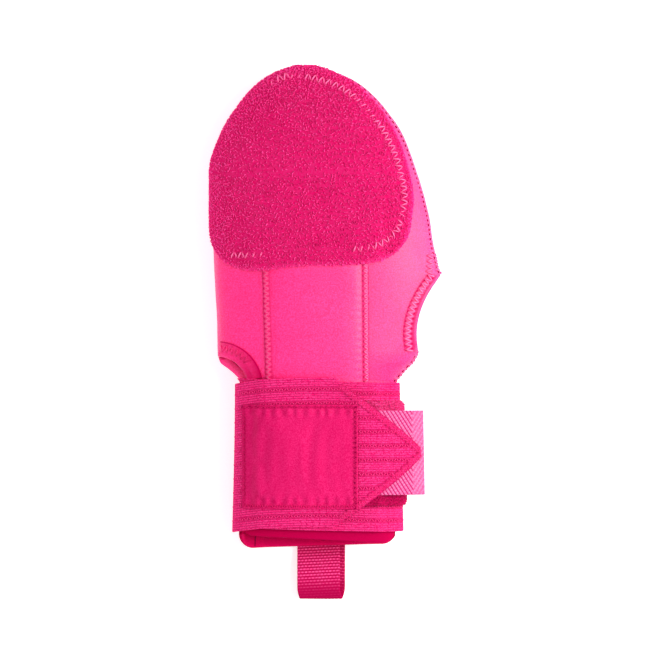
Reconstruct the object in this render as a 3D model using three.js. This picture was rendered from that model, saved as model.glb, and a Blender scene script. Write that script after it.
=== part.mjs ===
// A sliding mitt: a padded guard that covers one hand from the fingertips to the wrist.
// Sizes are millimetres. The mitt lies palm down on z = 0. +Y runs to the fingertips, +X to the thumb side.
import * as THREE from "three";

const { cos, sin, abs, min, max, round, sqrt, atan2, PI } = Math;

// Sizes that all pieces share
const sewnGap = 0.3; // clearance between pieces that lie on each other
const seamHeight = 17; // the side seam above the surface that the mitt rests on
const backFullness = 2.3; // power of the rounded back, where 2 is an ellipse
const palmFullness = 2.6; // power of the rounded palm side

// Cross sections of the hand shell from the wrist mouth to the tip: the side seam on both sides, the rise of the
// back above it, the drop of the rounded palm below it, the height of the flat sole and the padded wall
const sections = [
  { y: -131, left: -51.9, right: 41.5, back: 15.4, palm: 14.0, sole: 5.2, wall: 3.0 },
  { y: -119.5, left: -51.2, right: 42.6, back: 16.5, palm: 16.8, sole: 2.2, wall: 3.2 },
  { y: -30.5, left: -49.6, right: 43.0, back: 16.5, palm: 16.8, sole: 2.2, wall: 3.2 },
  { y: -26.5, left: -52.6, right: 45.8, back: 16.9, palm: 17.2, sole: 1.7, wall: 3.4 },
  { y: -22.5, left: -57.0, right: 49.2, back: 17.5, palm: 17.8, sole: 1.1, wall: 3.7 },
  { y: -18, left: -62.6, right: 53.6, back: 18.1, palm: 18.4, sole: 0.6, wall: 4.0 },
  { y: -12, left: -64.2, right: 56.6, back: 18.8, palm: 19.0, sole: 0.2, wall: 4.0 },
  { y: 4, left: -64.4, right: 61.6, back: 20.0, palm: 19.4, sole: 0, wall: 4.0 },
  { y: 34.8, left: -66.0, right: 70.2, back: 20.8, palm: 19.6, sole: 0, wall: 4.0 },
  { y: 38, left: -66.1, right: 68.6, back: 20.8, palm: 19.6, sole: 0, wall: 4.0 },
  { y: 44, left: -66.4, right: 67.4, back: 20.9, palm: 19.6, sole: 0, wall: 4.0 },
  { y: 52, left: -66.6, right: 65.5, back: 21.0, palm: 19.6, sole: 0, wall: 4.0 },
  { y: 68, left: -66.8, right: 63.2, back: 20.9, palm: 19.4, sole: 0, wall: 4.0 },
  { y: 96, left: -66.8, right: 55.5, back: 19.6, palm: 18.8, sole: 0, wall: 4.0 },
  { y: 117.6, left: -60.3, right: 47.4, back: 16.9, palm: 17.0, sole: 0.9, wall: 3.8 },
  { y: 134, left: -50.4, right: 36.4, back: 13.6, palm: 14.2, sole: 3.4, wall: 3.5 },
  { y: 146.4, left: -39.6, right: 24.3, back: 10.2, palm: 11.0, sole: 6.6, wall: 3.2 },
  { y: 153.6, left: -28.6, right: 12.4, back: 7.2, palm: 8.0, sole: 9.6, wall: 2.9 },
  { y: 157.6, left: -17.2, right: -1.6, back: 4.4, palm: 5.0, sole: 12.4, wall: 2.6 },
];
const tipY = sections[sections.length - 1].y;
const shellColumns = 16;

// Edges cut into the shell
const thumbHole = { top: 34.8, bottom: -12, middle: -1.5, deepest: 54.8, radius: 43.6, palmExtra: 6 };
const heelNotch = { x: -64, y: -33, radius: 18.3 };
const mouth = {
  back: { left: -121.5, right: -126.4, cornerLeft: 9, cornerRight: 7 },
  palm: { left: -130.4, right: -127.6, cornerLeft: 9, cornerRight: 7 },
};

// Pieces sewn on the shell
const panel = { thick: 1.8, top: 54, bottom: -62, leftTop: -37.5, leftBottom: -34, rightTop: 26.1, rightBottom: 26.9 };
const patch = {
  thick: 2.5,
  gap: 0.4,
  lower: 39.6, // height of the hem at the middle of the back
  wrapFrom: 2.2, // the turn at which the lower edge starts to climb round the outer side
  wrapUnder: 0.15, // how far the patch turns under the outer seam
  wrapRise: 34,
  settle: 90, // height over which the rows settle into straight lines
  rideOver: 12, // margin in which the patch climbs on to the centre panel
};
const patchHem = [
  { x: -67, y: 36.9 },
  { x: -41, y: 36.7 },
  { x: -31.5, y: 37.2 },
  { x: -21.9, y: 38.4 },
  { x: -7.5, y: 39.5 },
  { x: 6.9, y: 39.7 },
  { x: 21.3, y: 40.3 },
  { x: 30.9, y: 42.0 },
  { x: 35.7, y: 43.4 },
  { x: 40.5, y: 46.2 },
  { x: 45.3, y: 50.4 },
  { x: 48.9, y: 55.2 },
];
const patchEdge = [
  { y: 55.2, x: 48.9 },
  { y: 60, x: 50.8 },
  { y: 69.6, x: 52.2 },
  { y: 79.2, x: 53.1 },
  { y: 85.2, x: 52.6 },
  { y: 97.2, x: 50.1 },
  { y: 109.2, x: 46.5 },
  { y: 121.2, x: 41.1 },
  { y: 133.2, x: 33.3 },
  { y: 142.2, x: 25.0 },
  { y: 148.2, x: 17.8 },
  { y: 153.6, x: 7.8 },
  { y: 157.6, x: -4.0 },
];
const binding = { thick: 1.2, gap: 0.45, thumbWidth: 7.8, heelWidth: 9 };

// The wrist closure
const strap = {
  thick: 1.8,
  width: 89,
  middle: -74,
  taperFrom: 6, // x at which the free end starts to narrow to its point
  tip: 57.4,
  tipWidth: 5,
  leaves: -309, // the turn at which the free end leaves the wrist
  droop: 0.0035,
  flare: 2.6, // how far the lower edge stands off the thumb side of the wrist
  steps: 96,
};
const pad = { thick: 2.2, from: 60, to: -10, bottom: -103.8, top: -41, corner: 10 };
const tab = { thick: 1.5, from: -294, reach: 60, bottom: -97.2, top: -46.8 };
const label = { thick: 0.8, gap: 0.45, left: -48.3, right: 19.5, bottom: -105.5, top: -43.2 };

// The strap's run: turns in degrees from the thumb side, over the back of the wrist at 90 and under it at -90.
// The lift is from the shell to the middle of the strap, the shift moves the strap along the wrist.
const strapRun = [
  { turn: 166, lift: 1.3, shift: 1.8 },
  { turn: 141, lift: 1.3, shift: 1.8 },
  { turn: 131, lift: 3.5, shift: 1.2 },
  { turn: 49, lift: 3.5, shift: -0.6 },
  { turn: 37, lift: 1.3, shift: -0.8 },
  { turn: -125, lift: 1.3, shift: -1.0 },
  { turn: -150, lift: 1.7, shift: -1.2 },
  { turn: -180, lift: 3.1, shift: -1.6 },
  { turn: -194, lift: 3.7, shift: -1.2 },
  { turn: -219, lift: 3.7, shift: 0.4 },
  { turn: -229, lift: 5.9, shift: 1.2 },
  { turn: -270, lift: 5.9, shift: 2.4 },
  { turn: -283, lift: 6.6, shift: 2.2 },
  { turn: -292, lift: 8.4, shift: 2.0 },
  { turn: -300, lift: 10.0, shift: 2.0 },
  { turn: -309, lift: 10.4, shift: 2.0 },
];

// The pull loop's run from its upper end under the cuff, round the fold and back along the floor
const pull = { thick: 1.2, width: 25.6, left: -16.4, skew: 3.2, steps: 44 };
const pullRun = [
  { y: -122.6, z: 2.2 },
  { y: -130, z: 3.9 },
  { y: -138, z: 7.4 },
  { y: -147, z: 9.6 },
  { y: -155, z: 9.2 },
  { y: -160.2, z: 5.4 },
  { y: -157, z: 1.5 },
  { y: -150, z: 0.6 },
  { y: -138, z: 0.6 },
  { y: -122.6, z: 0.6 },
];

// A smooth line through one column of a table, which never swings past the rows on either side
function column(table, value, place = "y") {
  const rows = [...table].sort((a, b) => a[place] - b[place]);
  const slope = (i) => (rows[i + 1][value] - rows[i][value]) / (rows[i + 1][place] - rows[i][place]);
  const tangent = (i) => {
    if (i === 0) return slope(0);
    if (i === rows.length - 1) return slope(i - 1);
    const [before, after] = [slope(i - 1), slope(i)];
    return before * after > 0 ? (2 * before * after) / (before + after) : 0;
  };
  return (at) => {
    const place01 = THREE.MathUtils.clamp(at, rows[0][place], rows[rows.length - 1][place]);
    let i = 0;
    while (i < rows.length - 2 && rows[i + 1][place] < place01) i += 1;
    const span = rows[i + 1][place] - rows[i][place];
    const t = (place01 - rows[i][place]) / span;
    const rise = rows[i + 1][value] - rows[i][value];
    const bendStart = tangent(i) * span - rise;
    const bendEnd = rise - tangent(i + 1) * span;
    return rows[i][value] + rise * t + t * (1 - t) * (bendStart * (1 - t) + bendEnd * t);
  };
}

const section = {};
for (const name of ["left", "right", "back", "palm", "sole", "wall"]) section[name] = column(sections, name);
const smooth = THREE.MathUtils.smoothstep;
const mix = THREE.MathUtils.lerp;
const radians = THREE.MathUtils.degToRad;

// The outside of the shell at a turn round the hand: 0 on the thumb seam, PI on the other seam, palm below 0
function skinAt(turn, y) {
  const middle = (section.left(y) + section.right(y)) / 2;
  const half = (section.right(y) - section.left(y)) / 2;
  const up = sin(turn);
  const fullness = up >= 0 ? backFullness : palmFullness;
  const reach = (abs(cos(turn)) ** fullness + abs(up) ** fullness) ** (-1 / fullness);
  const height = up >= 0 ? section.back(y) * reach * up : section.palm(y) * reach * up;
  return new THREE.Vector3(middle + half * reach * cos(turn), y, max(seamHeight + height, section.sole(y)));
}

// A point above the shell's outside, or in its wall where the lift is negative
function skin(turn, y, lift) {
  const [step, stride] = [0.004, 0.1];
  const clear = THREE.MathUtils.clamp(y, sections[0].y + stride, tipY - stride);
  const around = skinAt(turn + step, clear).sub(skinAt(turn - step, clear));
  const along = skinAt(turn, clear + stride).sub(skinAt(turn, clear - stride));
  const outward = along.cross(around).normalize();
  return skinAt(turn, y).addScaledVector(outward, lift);
}

// The turn at which the back (side 1) or the palm (side -1) of the shell stands at a given x
function turnAt(x, y, side = 1) {
  const middle = (section.left(y) + section.right(y)) / 2;
  const share = (x - middle) / ((section.right(y) - section.left(y)) / 2);
  const fullness = side > 0 ? backFullness : palmFullness;
  const rise = max(abs(share) ** -fullness - 1, 0) ** (1 / fullness);
  return side * atan2(rise, Math.sign(share));
}

// A closed body over a grid: pointAt(u, v, face) gives its upper face for 1 and its lower face for 0
function sheet(pointAt, across, along) {
  const points = [];
  for (const face of [1, 0]) {
    for (let j = 0; j <= along; j += 1) {
      for (let i = 0; i <= across; i += 1) points.push(pointAt(i / across, j / along, face));
    }
  }
  const at = (face, i, j) => (1 - face) * (across + 1) * (along + 1) + j * (across + 1) + i;
  const faces = [];
  const quad = (a, b, c, d) => faces.push(a, b, c, a, c, d);
  for (let j = 0; j < along; j += 1) {
    for (let i = 0; i < across; i += 1) {
      quad(at(1, i, j), at(1, i + 1, j), at(1, i + 1, j + 1), at(1, i, j + 1));
      quad(at(0, i, j), at(0, i, j + 1), at(0, i + 1, j + 1), at(0, i + 1, j));
    }
  }
  for (let i = 0; i < across; i += 1) {
    quad(at(1, i, 0), at(0, i, 0), at(0, i + 1, 0), at(1, i + 1, 0));
    quad(at(1, i + 1, along), at(0, i + 1, along), at(0, i, along), at(1, i, along));
  }
  for (let j = 0; j < along; j += 1) {
    quad(at(1, 0, j + 1), at(0, 0, j + 1), at(0, 0, j), at(1, 0, j));
    quad(at(1, across, j), at(0, across, j), at(0, across, j + 1), at(1, across, j + 1));
  }
  let volume = 0;
  for (let i = 0; i < faces.length; i += 3) {
    const [a, b, c] = [points[faces[i]], points[faces[i + 1]], points[faces[i + 2]]];
    volume += a.dot(new THREE.Vector3().crossVectors(b, c));
  }
  const geometry = new THREE.BufferGeometry().setFromPoints(points);
  geometry.setIndex(volume > 0 ? faces : faces.reverse());
  geometry.computeVertexNormals();
  return geometry;
}

const mitt = new THREE.Group();
mitt.name = "sliding_mitt";

function addPiece(name, geometry, color, roughness) {
  const piece = new THREE.Mesh(geometry, new THREE.MeshStandardMaterial({ color, roughness, metalness: 0 }));
  piece.name = name;
  mitt.add(piece);
}

// Rows of the shells, closer together where an edge is cut and near the tip
const heelTop = heelNotch.y + heelNotch.radius;
const heelBottom = heelNotch.y - heelNotch.radius;
const rowBands = [
  { from: -117, to: heelBottom, rows: 4, crowd: "none" },
  { from: heelBottom, to: -30.5, rows: 5, crowd: "none" },
  { from: -30.5, to: heelTop, rows: 8, crowd: "end" },
  { from: heelTop, to: thumbHole.bottom, rows: 1, crowd: "none" },
  { from: thumbHole.bottom, to: thumbHole.top, rows: 8, crowd: "end" },
  { from: thumbHole.top, to: 96, rows: 5, crowd: "none" },
  { from: 96, to: tipY, rows: 9, crowd: "end" },
];
const crowding = { none: (t) => t, end: (t) => sin((PI * t) / 2) };
const shellRows = [rowBands[0].from];
for (const band of rowBands) {
  for (let i = 1; i <= band.rows; i += 1) {
    shellRows.push(mix(band.from, band.to, crowding[band.crowd](i / band.rows)));
  }
}

// The mouth's edge: a slanted line between two rounded corners
function mouthEdge(edge, x) {
  const [left, right] = [section.left(edge.left), section.right(edge.right)];
  const line = mix(edge.left, edge.right, (x - left) / (right - left));
  const intoLeft = max(0, 1 - (x - left) / edge.cornerLeft);
  const intoRight = max(0, 1 - (right - x) / edge.cornerRight);
  const rise = (into, corner) => corner * (1 - sqrt(max(0, 1 - into * into)));
  return line + rise(intoLeft, edge.cornerLeft) + rise(intoRight, edge.cornerRight);
}

function thumbEdge(y) {
  return thumbHole.deepest + (y - thumbHole.middle) ** 2 / (2 * thumbHole.radius);
}

function thumbTurn(y, side) {
  if (y <= thumbHole.bottom || y >= thumbHole.top) return 0;
  const along = (y - thumbHole.bottom) / (thumbHole.top - thumbHole.bottom);
  const deeper = side > 0 ? 0 : thumbHole.palmExtra * sin(PI * along);
  return turnAt(min(thumbEdge(y) - deeper, section.right(y)), y, side);
}

function heelTurn(y, side) {
  const reach = heelNotch.radius ** 2 - (y - heelNotch.y) ** 2;
  if (side < 0 || reach <= 0) return side * PI;
  return turnAt(max(heelNotch.x + sqrt(reach), section.left(y)), y);
}

// The back and palm shells: padded neoprene walls that face each other along the side seam and close at the tip
function shell(side, edge) {
  const rim = seamHeight + (side * sewnGap) / 2;
  const pointAt = (u, v, face) => {
    const row = round(v * shellRows.length);
    const guide = row === 0 ? edge.left : shellRows[row - 1];
    const spread = u - sin(2 * PI * u) / (4 * PI);
    const turn = mix(thumbTurn(guide, side), heelTurn(guide, side), spread);
    const y = row === 0 ? mouthEdge(edge, skinAt(turn, guide).x) : guide;
    if (y === tipY && face === 0) {
      const middle = (section.left(y) + section.right(y)) / 2;
      return new THREE.Vector3(mix(middle, skinAt(turn, y).x, 0.85), y, rim);
    }
    const point = skin(turn, y, face ? 0 : -section.wall(y));
    point.z = side > 0 ? max(point.z, rim) : min(point.z, rim);
    return point;
  };
  return sheet(pointAt, shellColumns, shellRows.length);
}
addPiece("back_shell", shell(1, mouth.back), "#f53a86", 0.85);
addPiece("palm_shell", shell(-1, mouth.palm), "#ef3480", 0.85);

// The centre panel: a neoprene pocket panel that runs from under the finger patch to under the strap
function panelSide(y, top, bottom) {
  return mix(bottom, top, (y - panel.bottom) / (panel.top - panel.bottom));
}
function panelPoint(u, v, face) {
  const y = mix(panel.bottom, panel.top, v);
  const left = panelSide(y, panel.leftTop, panel.leftBottom);
  const right = panelSide(y, panel.rightTop, panel.rightBottom);
  return skin(turnAt(mix(right, left, u), y), y, sewnGap + face * panel.thick);
}
addPiece("centre_panel", sheet(panelPoint, 10, 14), "#fa4590", 0.85);

// The finger patch: loop-pile fabric that rides over the panel's end and wraps the tip and the outer side
const patchRight = column(patchEdge, "x");
const patchHemAt = column(patchHem, "y", "x");
function patchLow(turn) {
  const intoWrap = max(0, turn - patch.wrapFrom) / (PI + patch.wrapUnder - patch.wrapFrom);
  return patchHemAt(skinAt(turn, patch.lower).x) + patch.wrapRise * intoWrap ** 2;
}
function overPanel(x, y) {
  const fromLeft = smooth(x, panel.leftTop - patch.rideOver, panel.leftTop - 3);
  const fromRight = 1 - smooth(x, panel.rightTop + 3, panel.rightTop + patch.rideOver);
  return fromLeft * fromRight * (1 - smooth(y, panel.top + 4, panel.top + 2 * patch.rideOver));
}
const patchRows = [patch.lower, ...shellRows.filter((y) => y > patch.lower + 2)];
function patchPoint(u, v, face) {
  const row = round(v * patchRows.length);
  const overTip = row === patchRows.length;
  const rowY = overTip ? tipY : patchRows[row];
  const lowTurn = mix(turnAt(patchRight(patch.lower), patch.lower), PI + patch.wrapUnder, u);
  const unsettled = max(0, 1 - (rowY - patch.lower) / patch.settle);
  const y = rowY + (patchLow(lowTurn) - patch.lower) * unsettled ** 2;
  const turn = mix(turnAt(patchRight(y), y), PI + patch.wrapUnder, u);
  const base = skinAt(turn, y);
  const ride = (panel.thick + sewnGap) * overPanel(base.x, y);
  if (overTip) {
    const inward = mix((section.left(tipY) + section.right(tipY)) / 2, base.x, 0.6);
    return new THREE.Vector3(inward, tipY + patch.gap + face * patch.thick, min(base.z, seamHeight));
  }
  return skin(turn, y, patch.gap + ride + face * patch.thick);
}
addPiece("finger_patch", sheet(patchPoint, 22, patchRows.length), "#e01e6a", 0.95);

// The bindings: facing strips along the edge of the thumb hole and of the heel notch
function thumbBindingPoint(u, v, face) {
  const y = mix(thumbHole.bottom + 1, thumbHole.top - 1, v);
  const x = thumbEdge(y) - 0.2 - u * binding.thumbWidth;
  return skin(turnAt(x, y), y, binding.gap + face * binding.thick);
}
addPiece("thumb_binding", sheet(thumbBindingPoint, 3, 14), "#f74f96", 0.85);

function heelBindingPoint(u, v, face) {
  const radius = heelNotch.radius + 0.2 + u * binding.heelWidth;
  const turnFrom = Math.asin((strap.middle + strap.width / 2 + 4.2 - heelNotch.y) / radius);
  const angle = mix(turnFrom, radians(86), v);
  const y = heelNotch.y + radius * sin(angle);
  const x = heelNotch.x + radius * cos(angle);
  return skin(turnAt(x, y), y, binding.gap + face * binding.thick);
}
addPiece("heel_binding", sheet(heelBindingPoint, 3, 10), "#f23a83", 0.85);

// The strap's path across the wrist. Past the turn where it leaves the wrist it runs on freely, a millimetre for
// each degree, and droops a little
const strapLift = column(strapRun, "lift", "turn");
const strapShift = column(strapRun, "shift", "turn");
function wrapPoint(turn, y, lift) {
  const wrapped = max(turn, strap.leaves);
  const point = skin(radians(wrapped), strap.middle, strapLift(wrapped) + lift);
  if (turn < strap.leaves) {
    const before = skin(radians(wrapped + 1), strap.middle, strapLift(wrapped + 1) + lift);
    const heading = point.clone().sub(before).normalize();
    const run = strap.leaves - turn;
    point.addScaledVector(heading, run);
    point.z -= strap.droop * run * run;
  }
  const widening = (section.right(y) - section.left(y)) / (section.right(strap.middle) - section.left(strap.middle));
  const middle = (section.left(strap.middle) + section.right(strap.middle)) / 2;
  const below = (strap.middle + strap.width / 2 - y) / strap.width;
  point.x = (section.left(y) + section.right(y)) / 2 + (point.x - middle) * widening;
  point.x += strap.flare * below * max(0, cos(radians(wrapped)));
  point.y = y;
  return point;
}

// The turn in the strap's outer lap at which its middle reaches a given x
function outerTurn(x) {
  let [low, high] = [strap.leaves - 60, -200];
  for (let i = 0; i < 40; i += 1) {
    const middle = (low + high) / 2;
    if (wrapPoint(middle, strap.middle, 0).x > x) low = middle;
    else high = middle;
  }
  return low;
}

// The wrist strap: elastic from its sewn start under the label, round the wrist and on to its free point
const strapEnd = outerTurn(strap.tip);
const strapStep = (strapRun[0].turn - strapEnd) / strap.steps;
function strapPoint(u, v, face) {
  const turn = strapRun[0].turn - strapStep * round(u * strap.steps);
  const lift = (face - 0.5) * strap.thick;
  const reached = turn > -200 ? 0 : (wrapPoint(turn, strap.middle, 0).x - strap.taperFrom) / (strap.tip - strap.taperFrom);
  const narrowing = (1 - THREE.MathUtils.clamp(reached, 0, 1)) ** 0.88;
  const width = mix(strap.tipWidth, strap.width, narrowing);
  return wrapPoint(turn, strap.middle + strapShift(turn) + (v - 0.5) * width, lift);
}
addPiece("wrist_strap", sheet(strapPoint, strap.steps, 4), "#e42069", 0.8);

// The strap's own turns between two others, so that what is sewn on the strap bends where the strap bends
function turnsOnStrap(from, to) {
  const turns = [from];
  for (let i = 0; i <= strap.steps; i += 1) {
    const turn = strapRun[0].turn - strapStep * i;
    if (turn < from - 1 && turn > to + 1) turns.push(turn);
  }
  return [...turns, to];
}

// The loop pad: fuzzy closure fabric on the strap's inner lap, rounded where it ends on the thumb side
const padTurns = turnsOnStrap(pad.from, pad.to);
function padPoint(u, v, face) {
  const turn = padTurns[round(u * (padTurns.length - 1))];
  const rest = wrapPoint(turn, strap.middle, 0).distanceTo(wrapPoint(pad.to, strap.middle, 0));
  const into = max(0, 1 - rest / pad.corner);
  const inset = pad.corner * (1 - sqrt(max(0, 1 - into * into)));
  const y = mix(pad.bottom + inset, pad.top - inset, v);
  return wrapPoint(turn, y, strap.thick / 2 + sewnGap + face * pad.thick);
}
addPiece("loop_pad", sheet(padPoint, padTurns.length - 1, 5), "#c80a52", 1);

// The pull tab: twill webbing under the strap's point
const tabTurns = turnsOnStrap(tab.from, outerTurn(tab.reach));
function tabPoint(u, v, face) {
  const turn = tabTurns[round(u * (tabTurns.length - 1))];
  return wrapPoint(turn, mix(tab.bottom, tab.top, v), (face - 1) * tab.thick - sewnGap - strap.thick / 2);
}
addPiece("pull_tab", sheet(tabPoint, tabTurns.length - 1, 2), "#f273ac", 0.8);

// The label patch: a plain satin patch on the strap's outer lap
const labelTurns = turnsOnStrap(outerTurn(label.left), outerTurn(label.right));
function labelPoint(u, v, face) {
  const turn = labelTurns[round(u * (labelTurns.length - 1))];
  return wrapPoint(turn, mix(label.bottom, label.top, v), strap.thick / 2 + label.gap + face * label.thick);
}
addPiece("label_patch", sheet(labelPoint, labelTurns.length - 1, 4), "#e82a76", 0.6);

// The pull loop: webbing with both ends sewn under the palm side of the cuff
const pullPath = new THREE.CatmullRomCurve3(pullRun.map((row) => new THREE.Vector3(0, row.y, row.z)), false, "centripetal");
function pullPoint(u, v, face) {
  const heading = pullPath.getTangentAt(u);
  const point = pullPath.getPointAt(u);
  const offset = (face - 0.5) * pull.thick;
  const z = max(point.z - heading.y * offset, 0);
  const x = pull.left + pull.skew * smooth(u, 0.4, 0.62) + v * pull.width;
  return new THREE.Vector3(x, point.y + heading.z * offset, z);
}
addPiece("pull_loop", sheet(pullPoint, pull.steps, 2), "#d72368", 0.8);

export default mitt;
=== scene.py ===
from types import SimpleNamespace as Sizes

import bpy
import numpy as np
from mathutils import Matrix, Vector


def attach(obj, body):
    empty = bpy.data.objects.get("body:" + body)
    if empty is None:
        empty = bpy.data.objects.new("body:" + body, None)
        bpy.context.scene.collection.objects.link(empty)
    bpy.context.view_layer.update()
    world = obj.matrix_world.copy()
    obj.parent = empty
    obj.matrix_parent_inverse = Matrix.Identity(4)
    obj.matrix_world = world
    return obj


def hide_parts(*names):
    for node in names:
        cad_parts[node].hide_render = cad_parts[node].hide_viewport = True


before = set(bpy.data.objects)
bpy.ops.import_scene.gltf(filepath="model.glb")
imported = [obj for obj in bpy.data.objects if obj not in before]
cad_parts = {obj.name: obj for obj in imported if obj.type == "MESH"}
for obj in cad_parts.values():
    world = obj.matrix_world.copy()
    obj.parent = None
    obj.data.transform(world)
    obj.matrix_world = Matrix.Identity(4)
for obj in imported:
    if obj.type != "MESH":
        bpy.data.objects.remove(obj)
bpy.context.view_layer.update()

# Hand shell
# Two padded neoprene panels faced with knitted jersey, one over the back of the hand and one under the
# palm. They are cut to shape and joined edge to edge round the side seam, with a thumb hole and a notch
# beside the heel of the hand.

MM = 0.001  # all sizes below are millimetres, and meshes are made in metres
SEAM_HEIGHT = 17.0
BACK_FULLNESS = 2.3
PALM_FULLNESS = 2.6
SEWN_GAP = 0.3
TIP_Y = 157.6
SECTIONS = np.array([  # y, left and right seam, rise of the back, drop of the palm, sole, wall
    [-131, -51.9, 41.5, 15.4, 14, 5.2, 3],
    [-119.5, -51.2, 42.6, 16.5, 16.8, 2.2, 3.2],
    [-30.5, -49.6, 43, 16.5, 16.8, 2.2, 3.2],
    [-26.5, -52.6, 45.8, 16.9, 17.2, 1.7, 3.4],
    [-22.5, -57, 49.2, 17.5, 17.8, 1.1, 3.7],
    [-18, -62.6, 53.6, 18.1, 18.4, 0.6, 4],
    [-12, -64.2, 56.6, 18.8, 19, 0.2, 4],
    [4, -64.4, 61.6, 20, 19.4, 0, 4],
    [34.8, -66, 70.2, 20.8, 19.6, 0, 4],
    [38, -66.1, 68.6, 20.8, 19.6, 0, 4],
    [44, -66.4, 67.4, 20.9, 19.6, 0, 4],
    [52, -66.6, 65.5, 21, 19.6, 0, 4],
    [68, -66.8, 63.2, 20.9, 19.4, 0, 4],
    [96, -66.8, 55.5, 19.6, 18.8, 0, 4],
    [117.6, -60.3, 47.4, 16.9, 17, 0.9, 3.8],
    [134, -50.4, 36.4, 13.6, 14.2, 3.4, 3.5],
    [146.4, -39.6, 24.3, 10.2, 11, 6.6, 3.2],
    [153.6, -28.6, 12.4, 7.2, 8, 9.6, 2.9],
    [TIP_Y, -17.2, -1.6, 4.4, 5, 12.4, 2.6],
])
THUMB_HOLE = Sizes(top=34.8, bottom=-12.0, middle=-1.5, deepest=54.8, radius=43.6, palm_extra=6.0)
HEEL_NOTCH = Sizes(x=-64.0, y=-33.0, radius=18.3)
BACK_MOUTH = Sizes(left=-121.5, right=-126.4, corner_left=9.0, corner_right=7.0)
PALM_MOUTH = Sizes(left=-130.4, right=-127.6, corner_left=9.0, corner_right=7.0)
CUFF_TOP = -110.0  # below this line, under the strap, the jersey takes darker colours as painted shade from the strap
EDGE_ROUND = 1.0  # the cut edge of the foam is rounded over
NOTCH_BEAD = Sizes(  # the notch bares the palm's edge, which is rolled thicker and stands up as a soft bead
    roll=1.4, stand=7.0, low=(-56, -42), high=(-18, -12), rolled=(135, 146), standing=(138, 150),
    bare=(75, 140), inside=(138, 144),
)
# Painted shade along the seams and on the cuff under the strap.
SEAM_SHADE = Sizes(tone=0.35, width=1.6, cuff_tone=0.3, cuff_fade=2.0)
UNEVEN = Sizes(depth=0.22, size=31.0)
GIRTH = 150.0  # of one panel, from the thumb side to the other side
FAN_Y = -112.0  # the rows below this line fan out to the slanted mouth
FAN_LENGTH = 20.0
WRIST_Y = -30.5  # the upper end of the straight wrist
TAPER_Y = 96.0  # where the finger end starts to narrow


def line_through(places, values):
    """A smooth line through a table's rows that never swings past the rows on either side."""
    places, values = np.asarray(places, float), np.asarray(values, float)
    slope = np.diff(values) / np.diff(places)
    tangent = np.concatenate([slope[:1], np.zeros(len(slope) - 1), slope[-1:]])
    before, after = slope[:-1], slope[1:]
    climbing = before * after > 0
    tangent[1:-1][climbing] = (2 * before * after)[climbing] / (before + after)[climbing]

    def at(place):
        place = np.clip(place, places[0], places[-1])
        i = np.clip(np.searchsorted(places, place) - 1, 0, len(places) - 2)
        span, rise = places[i + 1] - places[i], values[i + 1] - values[i]
        t = (place - places[i]) / span
        bend = (tangent[i] * span - rise) * (1 - t) + (rise - tangent[i + 1] * span) * t
        return values[i] + rise * t + t * (1 - t) * bend

    return at


left_at, right_at, back_at, palm_at, sole_at, wall_at = (
    line_through(SECTIONS[:, 0], column) for column in SECTIONS.T[1:]
)


def skin_at(turn, y):
    """The shell's outside at a turn round the hand: 0 at the thumb seam, pi at the other, palm below 0."""
    turn, y = np.broadcast_arrays(np.asarray(turn, float), np.asarray(y, float))
    left, right = left_at(y), right_at(y)
    out, up = np.cos(turn), np.sin(turn)
    fullness = np.where(up >= 0, BACK_FULLNESS, PALM_FULLNESS)
    reach = (np.abs(out) ** fullness + np.abs(up) ** fullness) ** (-1 / fullness)
    height = np.where(up >= 0, back_at(y), palm_at(y)) * reach * up
    x = (left + right) / 2 + (right - left) / 2 * reach * out
    return np.stack([x, y, np.maximum(SEAM_HEIGHT + height, sole_at(y))], axis=-1)


def unit(vectors):
    """The same directions at a length of 1."""
    return vectors / np.linalg.norm(vectors, axis=-1, keepdims=True)


def skin(turn, y, lift):
    """A point above the shell's outside, or in its wall where the lift is negative."""
    step, stride = 0.004, 0.1
    clear = np.clip(y, SECTIONS[0, 0] + stride, TIP_Y - stride)
    around = skin_at(turn + step, clear) - skin_at(turn - step, clear)
    along = skin_at(turn, clear + stride) - skin_at(turn, clear - stride)
    outward = unit(np.cross(along, around))
    return skin_at(turn, y) + outward * np.asarray(lift)[..., None]


def turn_at(x, y, side=1):
    """The turn at which the back (side 1) or the palm (side -1) of the shell stands at a given x."""
    left, right = left_at(y), right_at(y)
    share = np.clip((2 * x - left - right) / (right - left), -1, 1)
    fullness = BACK_FULLNESS if side > 0 else PALM_FULLNESS
    rise = np.maximum(np.maximum(np.abs(share), 1e-6) ** -fullness - 1, 0) ** (1 / fullness)
    return side * np.arctan2(rise, np.where(share < 0, -1.0, 1.0))


def mix(a, b, share):
    return a + (b - a) * share


def ease(value, low, high):
    """0 below low, 1 above high and a smooth climb between them."""
    t = np.clip((value - low) / (high - low), 0, 1)
    return t * t * (3 - 2 * t)


def hump(value, middle, width):
    """A soft rise, 1 at its middle, that fades out on both sides."""
    return np.exp(-(((value - middle) / width) ** 2))


def places_across(length, step, rim):
    """Places along a length, close together where its two ends are rounded over."""
    curve = rim * (1 - np.cos(np.linspace(0, np.pi / 2, 5)))[:-1]
    middle = np.linspace(rim, length - rim, max(2, int((length - 2 * rim) / step)))
    return np.concatenate([curve, middle, (length - curve)[::-1]])


def rounded(place, length, rim):
    """Height of an edge that is rounded over at both ends of a length, from 0 to 1."""
    near = np.clip(np.minimum(place, length - place) / rim, 0, 1)
    return np.sqrt(1 - (1 - near) ** 2)


def wander(a, b, size, seed):
    """Soft unevenness of hand-worked cloth, from -1 to 1."""
    total = np.zeros(np.broadcast(a, b).shape)
    for i in range(5):
        heading, wave = 2.4 * i + seed, size * (0.8 + 0.21 * i)
        total += np.sin((a * np.cos(heading) + b * np.sin(heading)) * 2 * np.pi / wave + 1.7 * i * seed)
    return total / 5


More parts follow.
